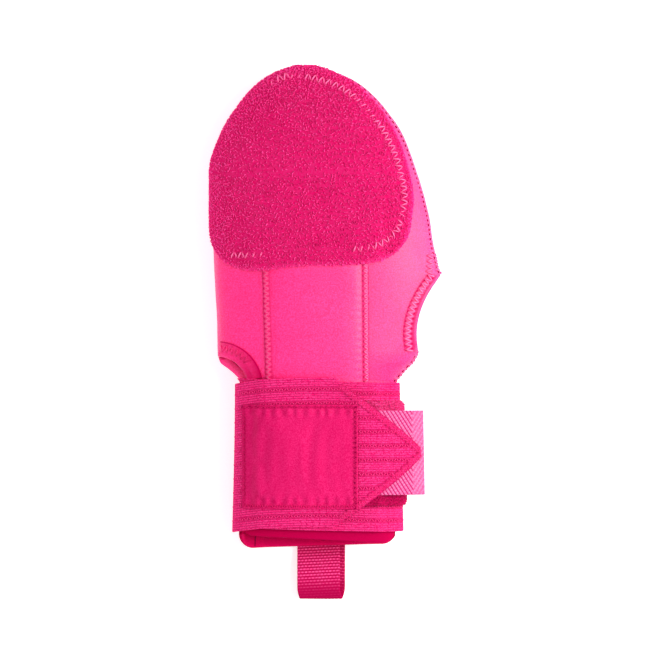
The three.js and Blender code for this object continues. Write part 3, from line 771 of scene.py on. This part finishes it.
BINDING = Sizes(
    gap=0.45, sewn_gap=0.12, overhang=0.2, thumb_width=7.8, heel_width=9.0, heel_end=86.0, strap_line=-27.6,
)
BINDING_PROFILE = Sizes(
    across=[0, 0.05, 0.16, 0.26, 0.36, 0.46, 0.9, 1],
    height=[0.6, 1.1, 1.2, 1.0, 0.65, 0.75, 0.6, 0.05],
)
binding_height = line_through(BINDING_PROFILE.across, BINDING_PROFILE.height)
binding_across = places_across(1, 0.03, 0.08)[None, :]
BINDING_STITCH = Sizes(
    across=0.68, half_width=2.0, spacing=1.5, radius=0.42, height=0.65,
    heel_across=0.6, heel_run=(0.35, 0.98),
)
CORNER_ROW = ((62.4, 34.6), (63.4, 47.0))  # where the row runs on past the corner of the thumb hole


def strip_gap(across):
    """The strip lies closer to the shell towards its sewn inner edge."""
    return mix(BINDING.gap, BINDING.sewn_gap, ease(across, 0.3, 0.9))


def thumb_place(across, y):
    """The x of a place on the thumb strip, by its share of the way across it."""
    return thumb_edge(y) - BINDING.overhang - across * BINDING.thumb_width


def thumb_strip(across, y, height):
    return on_back(thumb_place(across, y), y, strip_gap(across) + height)


def heel_place(across, along):
    """A place on the heel strip, by its share of the way across and along it."""
    radius = HEEL_NOTCH.radius + BINDING.overhang + across * BINDING.heel_width
    first = np.arcsin((BINDING.strap_line - HEEL_NOTCH.y) / radius)  # at the strap's upper edge
    angle = mix(first, np.radians(BINDING.heel_end), along)
    return HEEL_NOTCH.x + radius * np.cos(angle), HEEL_NOTCH.y + radius * np.sin(angle)


# Painted shade in the valley beside the strip's rolled edge.
strip_tone = 1 - 0.5 * hump(binding_across, 0.33, 0.11)
thumb_y = np.linspace(THUMB_HOLE.bottom + 0.6, THUMB_HOLE.top - 0.6, 120)[:, None]
thumb_ends = ease(np.minimum(thumb_y - thumb_y[0], thumb_y[-1] - thumb_y), -0.5, 5)
flat_height = 0.1 + (binding_height(binding_across) - 0.1) * thumb_ends
thumb_marks = needle_marks(
    (BINDING_STITCH.across - binding_across) * BINDING.thumb_width, thumb_y - thumb_y[0],
    BINDING_STITCH.half_width - 0.2, BINDING_STITCH.spacing, size=0.75,
)
thumb_binding = closed_sheet("thumb_binding_strip", thumb_strip(binding_across, thumb_y, flat_height),
                             thumb_strip(binding_across, thumb_y, 0 * flat_height), strip_tone - thumb_marks)
heel_along = np.linspace(0, 1, 50)[:, None]
heel_x, heel_y = heel_place(binding_across, heel_along)
heel_height = np.maximum(binding_height(binding_across), 0.5 * (binding_across > 0.5)) + 0 * heel_along
heel_gap = strip_gap(binding_across) + 0 * heel_along
# Painted shade on the heel strip: darker towards the strap, in the valley beside its roll and along its
# outer edge.
heel_tone = mix(0.35, 0.95, ease(heel_along, 0.0, 0.9)) - 0.2 * hump(binding_across, 0.3, 0.15)
heel_tone = heel_tone - 0.25 * ease(binding_across, 0.5, 0.9) - 0.6 * ease(binding_across, 0.88, 0.96)
heel_binding = closed_sheet("heel_binding_strip", on_back(heel_x, heel_y, heel_gap + heel_height),
                            on_back(heel_x, heel_y, heel_gap), heel_tone)
for piece, node in ((thumb_binding, "thumb_binding"), (heel_binding, "heel_binding")):
    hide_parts(node)
    piece.data.materials.append(jersey)


def on_binding(x, y, rise):
    return on_back(x, y, BINDING.gap + BINDING_STITCH.height + rise)


def past_binding(x, y, rise):
    """A point on the bare shell, just past the end of the binding."""
    return on_back(x, y, 0.25 + rise)


thumb_row = thumb_place(BINDING_STITCH.across, thumb_y[:, 0])
heel_row = heel_place(BINDING_STITCH.heel_across, np.linspace(*BINDING_STITCH.heel_run, 30))
corner_row = np.linspace(*CORNER_ROW, 12)
stitch_size = (BINDING_STITCH.half_width, BINDING_STITCH.spacing)
thumb_line = zigzag(np.stack([thumb_row, thumb_y[:, 0]], -1), *stitch_size, on_binding)
heel_line = zigzag(np.stack(heel_row, -1), *stitch_size, on_binding)
corner_line = zigzag(corner_row, *stitch_size, past_binding)
# The row past the corner is painted a little darker, as shade.
binding_thread = thread("binding_stitches", [thumb_line, corner_line], BINDING_STITCH.radius,
                        tones=[leg_tone(thumb_line, 0.5), 0.8 * leg_tone(corner_line, 0.5)])
made_of(polyester, binding_thread)
# The heel stitches are painted darker towards the strap, as shade.
heel_fade = np.linspace(0.3, 1.0, len(heel_line)) * leg_tone(heel_line, 0.6)
heel_thread = thread("heel_binding_stitches", [heel_line], BINDING_STITCH.radius, tones=[heel_fade])
made_of(jersey, heel_thread)

# Wrist strap
# Wide woven elastic, sewn to the cuff under the label, wrapped once round the wrist and laid back over
# itself to a free point. It is ribbed lengthways, with zigzag catch threads between groups of ribs and
# overlocked edges at the point.

STRAP = Sizes(
    thick=1.8, width=89.0, middle=-74.0, taper_from=6.0, tip=57.4, tip_width=5.0, leaves=-309.0,
    droop=0.0035, flare=2.6, course=1.4, float=7.5, groove=0.34, catch_spacing=8.4, hem=5.4,
    edge_round=0.7, outer_side=-186.0, laps_from=-200.0,
)
CATCH = Sizes(half_width=0.9, spacing=1.65, radius=0.27, clear=2.5)
POINT_STITCH = Sizes(half_width=2.2, spacing=1.3, radius=0.25)
STRAP_RUN = Sizes(
    turn=[-309, -300, -292, -283, -270, -229, -219, -194, -180, -150, -125, 37, 49, 131, 141, 166],
    lift=[10.4, 10.0, 8.4, 6.6, 5.9, 5.9, 3.7, 3.7, 3.1, 1.7, 1.3, 1.3, 3.5, 3.5, 1.3, 1.3],
    shift=[2.0, 2.0, 2.0, 2.2, 2.4, 1.2, 0.4, -1.2, -1.6, -1.2, -1.0, -0.8, -0.6, 1.2, 1.8, 1.8],
)
strap_lift = line_through(STRAP_RUN.turn, STRAP_RUN.lift)
strap_shift = line_through(STRAP_RUN.turn, STRAP_RUN.shift)


def wrap(turn, y, lift):
    """A point at a turn in degrees round the wrist. Past the turn where the strap leaves the wrist it
    runs on freely, a millimetre for each degree, and droops a little."""
    turn, y, lift = np.broadcast_arrays(turn, y, lift)
    wrapped = np.maximum(turn, STRAP.leaves)
    level = STRAP.middle + 0 * wrapped
    point = skin(np.radians(wrapped), level, strap_lift(wrapped) + lift)
    before = skin(np.radians(wrapped + 1), level, strap_lift(wrapped + 1) + lift)
    heading = unit(point - before)
    run = np.maximum(STRAP.leaves - turn, 0)
    point = point + heading * run[..., None]
    level_left, level_right = left_at(STRAP.middle), right_at(STRAP.middle)
    widening = (right_at(y) - left_at(y)) / (level_right - level_left)
    below = (STRAP.middle + STRAP.width / 2 - y) / STRAP.width
    x = (left_at(y) + right_at(y)) / 2 + (point[..., 0] - (level_left + level_right) / 2) * widening
    x = x + STRAP.flare * below * np.maximum(np.cos(np.radians(wrapped)), 0)
    return np.stack([x, y, point[..., 2] - STRAP.droop * run**2], -1)


lap_turns = np.linspace(STRAP.laps_from, STRAP.leaves - 60, 900)
lap_x = wrap(lap_turns, STRAP.middle, 0.0)[:, 0]


def lap_turn(x, y):
    """The turn at which the strap's outer lap stands at a place seen from above."""
    aim = x + 0 * y
    for i in range(4):
        turn = np.interp(aim, lap_x, lap_turns)
        aim = aim + x - wrap(turn, y, 0.0)[..., 0]
    return turn


fine_turns = np.linspace(STRAP_RUN.turn[-1], np.interp(STRAP.tip, lap_x, lap_turns), 1500)
fine_path = wrap(fine_turns, STRAP.middle, 0.0)
fine_run = run_along(fine_path)


def into_point(turn):
    """How far a place on the strap is past the start of its point."""
    reached = np.interp(turn, fine_turns[::-1], fine_path[::-1, 0]) - STRAP.taper_from
    return np.where(turn > STRAP.laps_from, 0, np.maximum(reached, 0))


def strap_width(turn):
    """The width of the strap, which narrows to its point."""
    narrowing = (1 - np.clip(into_point(turn) / (STRAP.tip - STRAP.taper_from), 0, 1)) ** 0.88
    return mix(STRAP.tip_width, STRAP.width, narrowing)


strap_stations = np.linspace(0, fine_run[-1], 250)[:, None]
strap_turn = np.interp(strap_stations, fine_run, fine_turns)
strap_share = (places_across(STRAP.width, 0.72, STRAP.edge_round) / STRAP.width)[None, :]
strap_offset = (strap_share - 0.5) * strap_width(strap_turn)
strap_y = STRAP.middle + strap_shift(strap_turn) + strap_offset
from_catch = np.abs(strap_offset / STRAP.catch_spacing % 1 - 0.5) * STRAP.catch_spacing
from_edge = strap_width(strap_turn) / 2 - np.abs(strap_offset)
in_point = ease(into_point(strap_turn), 1, 7)
on_hem = in_point * (1 - ease(from_edge, STRAP.hem, STRAP.hem + 1))
catch_groove = hump(from_catch, 0, 1.0) * (1 - on_hem)
# The elastic is drawn smooth where it bends round the outer side.
catch_groove = catch_groove * mix(0.25, 1.0, ease(np.abs(strap_turn - STRAP.outer_side), 12, 26))
hem_holes = mix(0.2, 1.0, ease(np.sin(2 * np.pi * strap_stations / 3.4), -0.5, 0.5))
hem_groove = in_point * hump(from_edge, STRAP.hem, 0.9) * hem_holes
strap_edge = 0.35 + 0.65 * rounded(strap_share * STRAP.width, STRAP.width, STRAP.edge_round)
strap_half = STRAP.thick / 2 * strap_edge - 0.3 * np.maximum(catch_groove, hem_groove) * strap_edge
point_rim = in_point * (1 - ease(from_edge, 0.2, 0.8))
# Painted shade in the catch grooves, in the hem grooves at the point and along the point's edge.
strap_tone = (1 - 0.9 * catch_groove) * (1 - 0.7 * hem_groove) * (1 - 0.7 * point_rim)
strap_face, strap_under = (wrap(strap_turn, strap_y, lift) for lift in (strap_half, -strap_half))
strap_lay = (strap_stations, strap_offset)
wrist_strap = closed_sheet("wrist_strap_elastic", strap_face, strap_under, strap_tone, strap_tone, strap_lay)
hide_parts("wrist_strap")


def on_strap(run, offset, rise):
    """A point on the strap's outer face by the run along it and the offset from its middle."""
    turn = np.interp(run, fine_run, fine_turns)
    return wrap(turn, STRAP.middle + strap_shift(turn) + offset, STRAP.thick / 2 + rise)


catch_rows = []
for offset in np.arange(-4.5, 5) * STRAP.catch_spacing:
    inside = fine_run[strap_width(fine_turns) / 2 > abs(offset) + CATCH.clear]
    row = np.stack([np.linspace(2, inside[-1], 200), np.full(200, offset)], -1)
    catch_rows.append(zigzag(row, CATCH.half_width, CATCH.spacing, on_strap, 0.35, 0.3, each=3))
# The catch threads darken at their holes, as painted shade.
catch_tones = [leg_tone(row, 0.2, 3) for row in catch_rows]
catch_thread = thread("wrist_strap_catch_threads", catch_rows, CATCH.radius, tones=catch_tones)

point_rows = []
for side in (1, -1):
    point_turn = np.linspace(np.interp(STRAP.taper_from + 3, lap_x, lap_turns), fine_turns[-1], 60)
    point_run = np.interp(-point_turn, -fine_turns, fine_run)
    row = np.stack([point_run, side * (strap_width(point_turn) / 2 - STRAP.hem / 2)], -1)
    point_rows.append(zigzag(row, POINT_STITCH.half_width, POINT_STITCH.spacing, on_strap, 0.2, 0.3))
# The point rows are painted darker, as shade, and darken at their holes.
point_tones = [0.7 * leg_tone(row, 0.1) for row in point_rows]
point_thread = thread("wrist_strap_point_stitches", point_rows, POINT_STITCH.radius, tones=point_tones)

# Woven elastic: polyester yarn over rubber, matt in its grooves with a dull gleam along the ribs.
elastic = cloth(
    "woven_elastic", "#a00040", "#d8025a", "#f4428e", 0.7, 0.3,
    weave_mm=(STRAP.float, STRAP.course, STRAP.groove), roughness=0.6, specular_ior_level=0.02,
)
made_of(elastic, wrist_strap)

# Twisted elastic yarn: the same colour as the webbing, painted a little brighter as light for lying on top.
elastic_yarn = cloth(
    "elastic_yarn", "#a80040", "#f2106a", "#ff509c", 0.5, 0.1, roughness=0.6, specular_ior_level=0.02,
)
made_of(elastic_yarn, catch_thread, point_thread)

# Loop pad
# The soft half of the closure, sewn on the strap's inner lap where the free point comes down. Only its
# rounded ends show above and below the point.

PAD = Sizes(thick=2.0, start=60.0, end=-10.0, bottom=-103.8, top=-41.0, corner=10.0, height=62.0, rim=0.9)
PAD_PILE = {"spacing": 1.0, "width": 1.0, "height": 0.65, "radius": 0.17}
pad_turn = np.linspace(PAD.start, PAD.end, 70)[:, None]
pad_share = (places_across(PAD.height, 0.9, PAD.rim) / PAD.height)[None, :]
pad_end = wrap(PAD.end, STRAP.middle, 0.0)
pad_left = np.linalg.norm(wrap(pad_turn, STRAP.middle, 0.0) - pad_end, axis=-1)
pad_into = np.clip(1 - pad_left / PAD.corner, 0, 1)
pad_inset = PAD.corner * (1 - np.sqrt(1 - pad_into**2))
pad_y = mix(PAD.bottom + pad_inset, PAD.top - pad_inset, pad_share)
pad_edges = 0.3 + 0.7 * rounded(pad_share * PAD.height, PAD.height, PAD.rim) * ease(pad_left, -0.4, 1.2)
pad_curl = wander(pad_turn * 0.8, pad_y, 2.4, 1.3)
pad_base = STRAP.thick / 2 + SEWN_GAP
pad_top = wrap(pad_turn, pad_y, pad_base + PAD.thick * pad_edges * (1 + 0.08 * pad_curl))
pad_lit = mix(0.15, 1.0, ease(pad_y, -80, -60))  # the lower end lies in the strap's shade
pad_tone = (0.5 + 0.4 * pad_curl) * pad_lit
loop_pad = closed_sheet("loop_pad_backing", pad_top, wrap(pad_turn, pad_y, pad_base), pad_tone)
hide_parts("loop_pad")
pad_pile = pile("loop_pad_pile", pad_top, seed=5, lit=pad_lit[:-1, :-1], **PAD_PILE)

# Brushed nylon loops, trodden and darker than the finger patch because their tips point every way.
brushed_nylon = cloth(
    "brushed_nylon", "#b00046", "#d82870", "#f05c9e", 1.2, 0.3, roughness=0.8, specular_ior_level=0.0,
)
made_of(brushed_nylon, loop_pad, pad_pile)

# Pull tab
# A square of twill webbing sewn under the strap's point as a finger grip. Its weave runs in slanting
# ridges that turn to a herringbone at the free end.

TAB = Sizes(
    thick=1.5, start=-294.0, shows_from=31.0, reach=60.0, bottom=-97.2, top=-46.8, ridge=2.0, slope=58.0,
    turns_at=53.0, float=1.8, width=50.0, rim=0.5,
)
tab_first = np.interp(TAB.start, lap_turns[::-1], lap_x[::-1])
tab_run = np.concatenate([np.linspace(tab_first, TAB.shows_from, 9)[:-1],
                          np.linspace(TAB.shows_from, TAB.reach, 86)])[:, None]
tab_turn = np.interp(tab_run, lap_x, lap_turns)
tab_share = (places_across(TAB.width, 0.36, TAB.rim) / TAB.width)[None, :]
tab_y = mix(TAB.bottom, TAB.top, tab_share)
slope = np.radians(TAB.slope)
folded = TAB.turns_at - np.abs(tab_run - TAB.turns_at)
ridge = np.cos(2 * np.pi * (folded * np.sin(slope) + tab_y * np.cos(slope)) / TAB.ridge)
pick = np.cos(2 * np.pi * (folded * np.cos(slope) - tab_y * np.sin(slope)) / TAB.float)
reversed_part = ease(tab_run, TAB.turns_at - 1, TAB.turns_at + 1)
# Painted shade in the valleys between the slanting ridges; past the turn the herringbone gets a lighter,
# fainter painted shade.
tab_tone = mix(ease(ridge, -0.9, 0.15) * (0.8 + 0.2 * pick), 0.7 + 0.24 * ridge + 0.06 * pick, reversed_part)
tab_ends = ease(tab_run - tab_run.min(), -0.3, 0.7) * ease(tab_run.max() - tab_run, -0.3, 0.7)
tab_edges = rounded(tab_share * TAB.width, TAB.width, TAB.rim) * tab_ends
tab_middle = -STRAP.thick / 2 - SEWN_GAP - TAB.thick / 2
tab_half = TAB.thick / 2 * (0.4 + 0.6 * tab_edges) - 0.22 * (1 - ridge) / 2 - 0.06 * (1 - pick)
pull_tab = closed_sheet("pull_tab_webbing", wrap(tab_turn, tab_y, tab_middle + tab_half),
                        wrap(tab_turn, tab_y, tab_middle - tab_half), tab_tone, tab_tone)
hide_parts("pull_tab")

# Polyester twill webbing: the smoothest of the cloths here, so it looks the palest.
twill = cloth(
    "twill_webbing", "#b81a60", "#e45698", "#f08cba", 0.6, 0.1,
    roughness=0.55, sheen_weight=0.04, sheen_roughness=0.35,
    sheen_tint=linear("#ffd6e8"), specular_ior_level=0.15,
)
made_of(twill, pull_tab)

# Label patch
# A plain satin patch sewn on the strap's outer lap along its four edges. The elastic draws back under
# it, so the satin stands in soft upright wrinkles with puckers along the stitching.

LABEL = Sizes(
    thick=0.8, gap=0.45, left=-48.3, right=19.5, bottom=-105.5, top=-43.2, wrinkle=0.6, rim=0.4,
)
label_width, label_height = LABEL.right - LABEL.left, LABEL.top - LABEL.bottom
label_u = places_across(label_width, 0.5, LABEL.rim)[None, :]
label_v = places_across(label_height, 0.5, LABEL.rim)[:, None]
label_x, label_y = LABEL.left + label_u, LABEL.bottom + label_v
label_turn = lap_turn(label_x, label_y)
in_from_side = np.minimum(label_u, label_width - label_u) + 0 * label_v
in_from_end = np.minimum(label_v, label_height - label_v) + 0 * label_u
in_from_rim = np.minimum(in_from_side, in_from_end)
held_down = ease(in_from_rim, 1.5, 9)


def settled_satin(step, spare, frames, enlarged=0.01):
    """Heights over an even grid of satin, cut a little larger than the place its sewn edges hold it to.
    It is simulated ten times its size, because the cloth solver is made for pieces as large as clothes."""
    columns, rows = int(label_width / step) + 1, int(label_height / step) + 1
    u, v = np.meshgrid(np.linspace(0, label_width, columns), np.linspace(0, label_height, rows))
    first_folds = 0.15 * np.sin(2 * np.pi * (u + 3 * np.sin(v / 17)) / 9) * np.sin(np.pi * v / label_height)
    start = np.stack([u, v, first_folds], -1).reshape(-1, 3) * enlarged
    grid = np.arange(rows * columns).reshape(rows, columns)
    mesh = bpy.data.meshes.new("satin_blank")
    mesh.from_pydata(start.tolist(), [], grid_faces(grid).tolist())
    blank = bpy.data.objects.new("satin_blank", mesh)
    bpy.context.scene.collection.objects.link(blank)
    in_from_edge = np.minimum(np.minimum(u, label_width - u), np.minimum(v, label_height - v))
    sewn_edge = blank.vertex_groups.new(name="sewn_edge")
    sewn_edge.add(grid[in_from_edge < 2.2].tolist(), 1.0, "REPLACE")
    satin_sheet = blank.modifiers.new("satin", "CLOTH")
    settings = satin_sheet.settings
    settings.quality = 8
    settings.mass = 0.3
    settings.tension_stiffness = settings.compression_stiffness = 40
    settings.shear_stiffness = 10
    settings.bending_stiffness = 8
    settings.vertex_group_mass = "sewn_edge"
    settings.shrink_min = -spare
    settings.use_pressure = True
    settings.uniform_pressure_force = 0.5
    settings.effector_weights.gravity = 0
    satin_sheet.collision_settings.use_collision = False
    satin_sheet.point_cache.frame_end = frames
    for moment in range(1, frames + 1):
        bpy.context.scene.frame_set(moment)
    settled = blank.evaluated_get(bpy.context.evaluated_depsgraph_get()).data
    points = np.empty(len(start) * 3)
    settled.vertices.foreach_get("co", points)
    bpy.data.objects.remove(blank)
    bpy.data.meshes.remove(mesh)
    bpy.context.scene.frame_set(1)
    return u[0], v[:, 0], points.reshape(rows, columns, 3)[..., 2] / enlarged


satin_u, satin_v, satin_height = settled_satin(1.0, 0.01, 24)
across_fine = np.stack([np.interp(label_u[0], satin_u, row) for row in satin_height])
wrinkle = np.stack([np.interp(label_v[:, 0], satin_v, column) for column in across_fine.T], -1)
wrinkle = LABEL.wrinkle * wrinkle * mix(0.45, 1.0, ease(label_width - label_u, 10, 50))
uneven_u = label_u + 1.6 * wander(label_u, 0 * label_v, 17, 0.6)
pucker = 0.34 * np.sin(2 * np.pi * uneven_u / 6.2) * hump(in_from_end, 4.6, 2.6)
pucker = pucker + 0.1 * np.sin(2 * np.pi * label_v / 3.4) * hump(in_from_side, 3.2, 1.8)
sewn = hump(in_from_rim, 1.6, 0.7)
top_holes = hump(label_height - label_v, 1.4, 1.0) * ease(np.sin(2 * np.pi * uneven_u / 3.7), -0.2, 0.6)
side_holes = hump(label_width - label_u, 1.6, 0.9) * ease(np.sin(2 * np.pi * label_v / 3.0), -0.1, 0.6)
label_rim = rounded(label_u, label_width, LABEL.rim) * rounded(label_v, label_height, LABEL.rim)
label_edges = 0.35 + 0.65 * label_rim
label_lift = LABEL.thick * label_edges + 0.35 * held_down + wrinkle * held_down + pucker - 0.15 * sewn
label_base = STRAP.thick / 2 + LABEL.gap
label_lift = np.maximum(label_lift, 0.25)
# Painted shade: the satin is darker on its left, away from the light, on wrinkle slopes that face left,
# along its sewn edges and in the stitch holes.
facing = np.gradient(label_lift, label_u[0], axis=1)
label_tone = mix(0.72, 0.95, ease(label_u, 2, 42)) - 0.6 * facing - 0.1 * sewn
label_tone = label_tone - 0.45 * top_holes - side_holes
label_patch = closed_sheet("label_patch_satin", wrap(label_turn, label_y, label_base + label_lift),
                           wrap(label_turn, label_y, label_base), label_tone)
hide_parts("label_patch")


def on_label(x, y, rise):
    return wrap(lap_turn(x, y), y, label_base + 0.75 + rise)


def label_line(x0, y0, x1, y1):
    return np.stack([np.linspace(x0, x1, 80), np.linspace(y0, y1, 80)], -1)


stitch_left, stitch_right = LABEL.left + 1.6, LABEL.right - 1.7
stitch_low, stitch_top = LABEL.bottom + 1.7, LABEL.top - 1.6
label_rows = [
    zigzag(label_line(stitch_left, stitch_top, stitch_right, stitch_top), 0.5, 1.55, on_label),
    zigzag(label_line(stitch_left, stitch_low, stitch_right, stitch_low), 1.2, 1.4, on_label),
    zigzag(label_line(stitch_right, stitch_low, stitch_right, stitch_top), 1.2, 1.4, on_label),
    zigzag(label_line(stitch_left, stitch_low, stitch_left, stitch_top), 0.5, 1.8, on_label),
]
# The rows are painted in differing shade, darkest on the left.
label_thread = thread("label_patch_stitches", label_rows, 0.26, tones=[0.8, 1.0, 0.7, 0.5])

# Polyester satin: long floats of filament that give a smooth face with a soft broad highlight.
satin = cloth(
    "polyester_satin", "#8c0038", "#ce0656", "#e42872", 0.7, 0.1, roughness=0.4, specular_ior_level=0.04,
)
made_of(satin, label_patch, label_thread)

# Pull loop
# A folded length of grosgrain webbing with both ends sewn under the palm side of the cuff, for pulling
# the mitt on. Its cross ribs are picks of thick yarn under a plain weave.

PULL = Sizes(
    thick=1.2, width=25.6, left=-16.4, skew=3.2, rib=1.8, block=2.1, slant=0.05, fold=-156.0, rim=0.5,
)
PULL_RUN = np.array([  # y and height of the folded run
    [-122.6, 2.2], [-130, 3.9], [-138, 7.4], [-147, 9.6], [-155, 9.2],
    [-160.2, 5.4], [-157, 1.5], [-150, 0.6], [-138, 0.6], [-122.6, 0.6],
])


def smooth_path(rows, each):
    """An even curve through rows of points, with no overshoot where they crowd together."""
    ends = np.concatenate([[2 * rows[0] - rows[1]], rows, [2 * rows[-1] - rows[-2]]])
    gap = np.sqrt(np.linalg.norm(np.diff(ends, axis=0), axis=1))[:, None]
    t = np.linspace(0, 1, each, endpoint=False)[:, None]
    pieces = []
    for i in range(len(rows) - 1):
        before, start, end, after = ends[i : i + 4]
        d0, d1, d2 = gap[i : i + 3]
        leave = (start - before) / d0 - (end - before) / (d0 + d1) + (end - start) / d1
        reach = (end - start) / d1 - (after - start) / (d1 + d2) + (after - end) / d2
        rise = end - start
        pieces.append(start + rise * t**2 * (3 - 2 * t) + d1 * t * (1 - t) * (leave * (1 - t) - reach * t))
    return np.concatenate([*pieces, rows[-1:]])


pull_fine = smooth_path(PULL_RUN, 60)
pull_length = run_along(pull_fine)
pull_place = places_across(pull_length[-1], 0.34, PULL.rim)
pull_line = places_on(pull_fine, pull_length, pull_place)
pull_heading = unit(np.gradient(pull_line, pull_place, axis=0))
pull_across = places_across(PULL.width, 0.42, PULL.rim)[None, :]
pull_share = (pull_place / pull_length[-1])[:, None]
pull_x = PULL.left + PULL.skew * ease(pull_share, 0.4, 0.62) + pull_across
picks = (pull_place[:, None] + PULL.slant * pull_across) / PULL.rib
pick = np.cos(2 * np.pi * picks)
block = np.cos(2 * np.pi * (pull_across / PULL.block + np.floor(picks + 0.5) / 2))
weave = 0.5 + 0.24 * pick + 0.26 * np.maximum(pick, 0) * (2 * ease(block, -0.9, 0.1) - 1)
at_fold = 1 - ease(pull_line[:, :1], PULL.fold - 1, PULL.fold + 11)
# Painted shade between the ribs and deep in the fold.
pull_tone = mix(ease(weave, 0.32, 0.85), 0.02, 0.9 * at_fold)
pull_edges = 0.35 + 0.65 * rounded(pull_across, PULL.width, PULL.rim)
pull_half = PULL.thick / 2 * pull_edges - 0.2 * (1 - weave)


def pull_face(offset):
    """One face of the webbing, by its offset from the middle of the run."""
    y = pull_line[:, :1] + pull_heading[:, 1:] * offset
    z = np.maximum(pull_line[:, 1:] - pull_heading[:, :1] * offset, 0)
    return np.stack(np.broadcast_arrays(pull_x, y, z), -1)


pull_top, pull_under = pull_face(pull_half), pull_face(-pull_half)
# The under layer is painted darker, as shade.
pull_loop = closed_sheet("pull_loop_webbing", pull_top, pull_under, pull_tone, 0.7 * pull_tone)
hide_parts("pull_loop")

# Nylon grosgrain: low dull ribs with little sheen.
grosgrain = cloth(
    "nylon_grosgrain", "#ac0042", "#fa3080", "#ff62a6", 0.5, 0.08, roughness=0.7, specular_ior_level=0.0,
)
made_of(grosgrain, pull_loop)

# Floor, light and camera
# A white studio table lit by soft boxes, the strongest on the thumb side. The camera looks straight down
# from high above, as in the photograph.

FLOOR = Sizes(half=2000.0, height=-0.2)
floor_sides = ((-1, -1), (1, -1), (1, 1), (-1, 1))
corners = np.array([[x * FLOOR.half, y * FLOOR.half, FLOOR.height] for x, y in floor_sides])
floor = new_piece("studio_floor", corners, np.array([[0, 1, 2, 3]]))
white = bpy.data.materials.new("studio_white")
white.use_nodes = True
white_shader = white.node_tree.nodes["Principled BSDF"].inputs
white_shader["Base Color"].default_value = linear("#fafafa")
white_shader["Roughness"].default_value = 0.9
white_shader["Emission Color"].default_value = linear("#ffffff")
white_shader["Emission Strength"].default_value = 0.45
made_of(white, floor)

studio = bpy.data.worlds.new("studio")
studio.use_nodes = True
backdrop = studio.node_tree.nodes["Background"].inputs
backdrop["Color"].default_value = linear("#ffffff")
backdrop["Strength"].default_value = 0.57
bpy.context.scene.world = studio


def soft_light(name, place, size, power, glossy=True):
    """A square soft box that faces the mitt, with or without a gleam on the cloth."""
    light = bpy.data.lights.new(name, "AREA")
    light.size = size
    light.energy = power
    box = bpy.data.objects.new(name, light)
    box.location = place
    box.rotation_euler = Vector(place).to_track_quat("Z", "Y").to_euler()
    box.visible_glossy = glossy
    bpy.context.scene.collection.objects.link(box)


soft_light("key_light", (0.68, 0.1, 1.0), 0.5, 10)
soft_light("side_light", (1.3, 0.15, 0.5), 0.8, 11)
soft_light("fill_light", (-1.2, -0.2, 0.6), 0.8, 6.5, glossy=False)

FRAME_MM = 390.0  # width of the picture at the height of the side seam
CAMERA_MM = 3000.0  # height of the camera above that seam
SENSOR_MM = 36.0
AIM_MM = (0.3, 4.2)  # the middle of the picture
lens = bpy.data.cameras.new("camera")
lens.sensor_width = SENSOR_MM
lens.lens = SENSOR_MM * CAMERA_MM / FRAME_MM
lens.clip_end = 20
camera = bpy.data.objects.new("camera", lens)
camera.location = (AIM_MM[0] * MM, AIM_MM[1] * MM, (CAMERA_MM + SEAM_HEIGHT) * MM)
bpy.context.scene.collection.objects.link(camera)
bpy.context.scene.camera = camera
bpy.context.scene.view_settings.view_transform = "Standard"
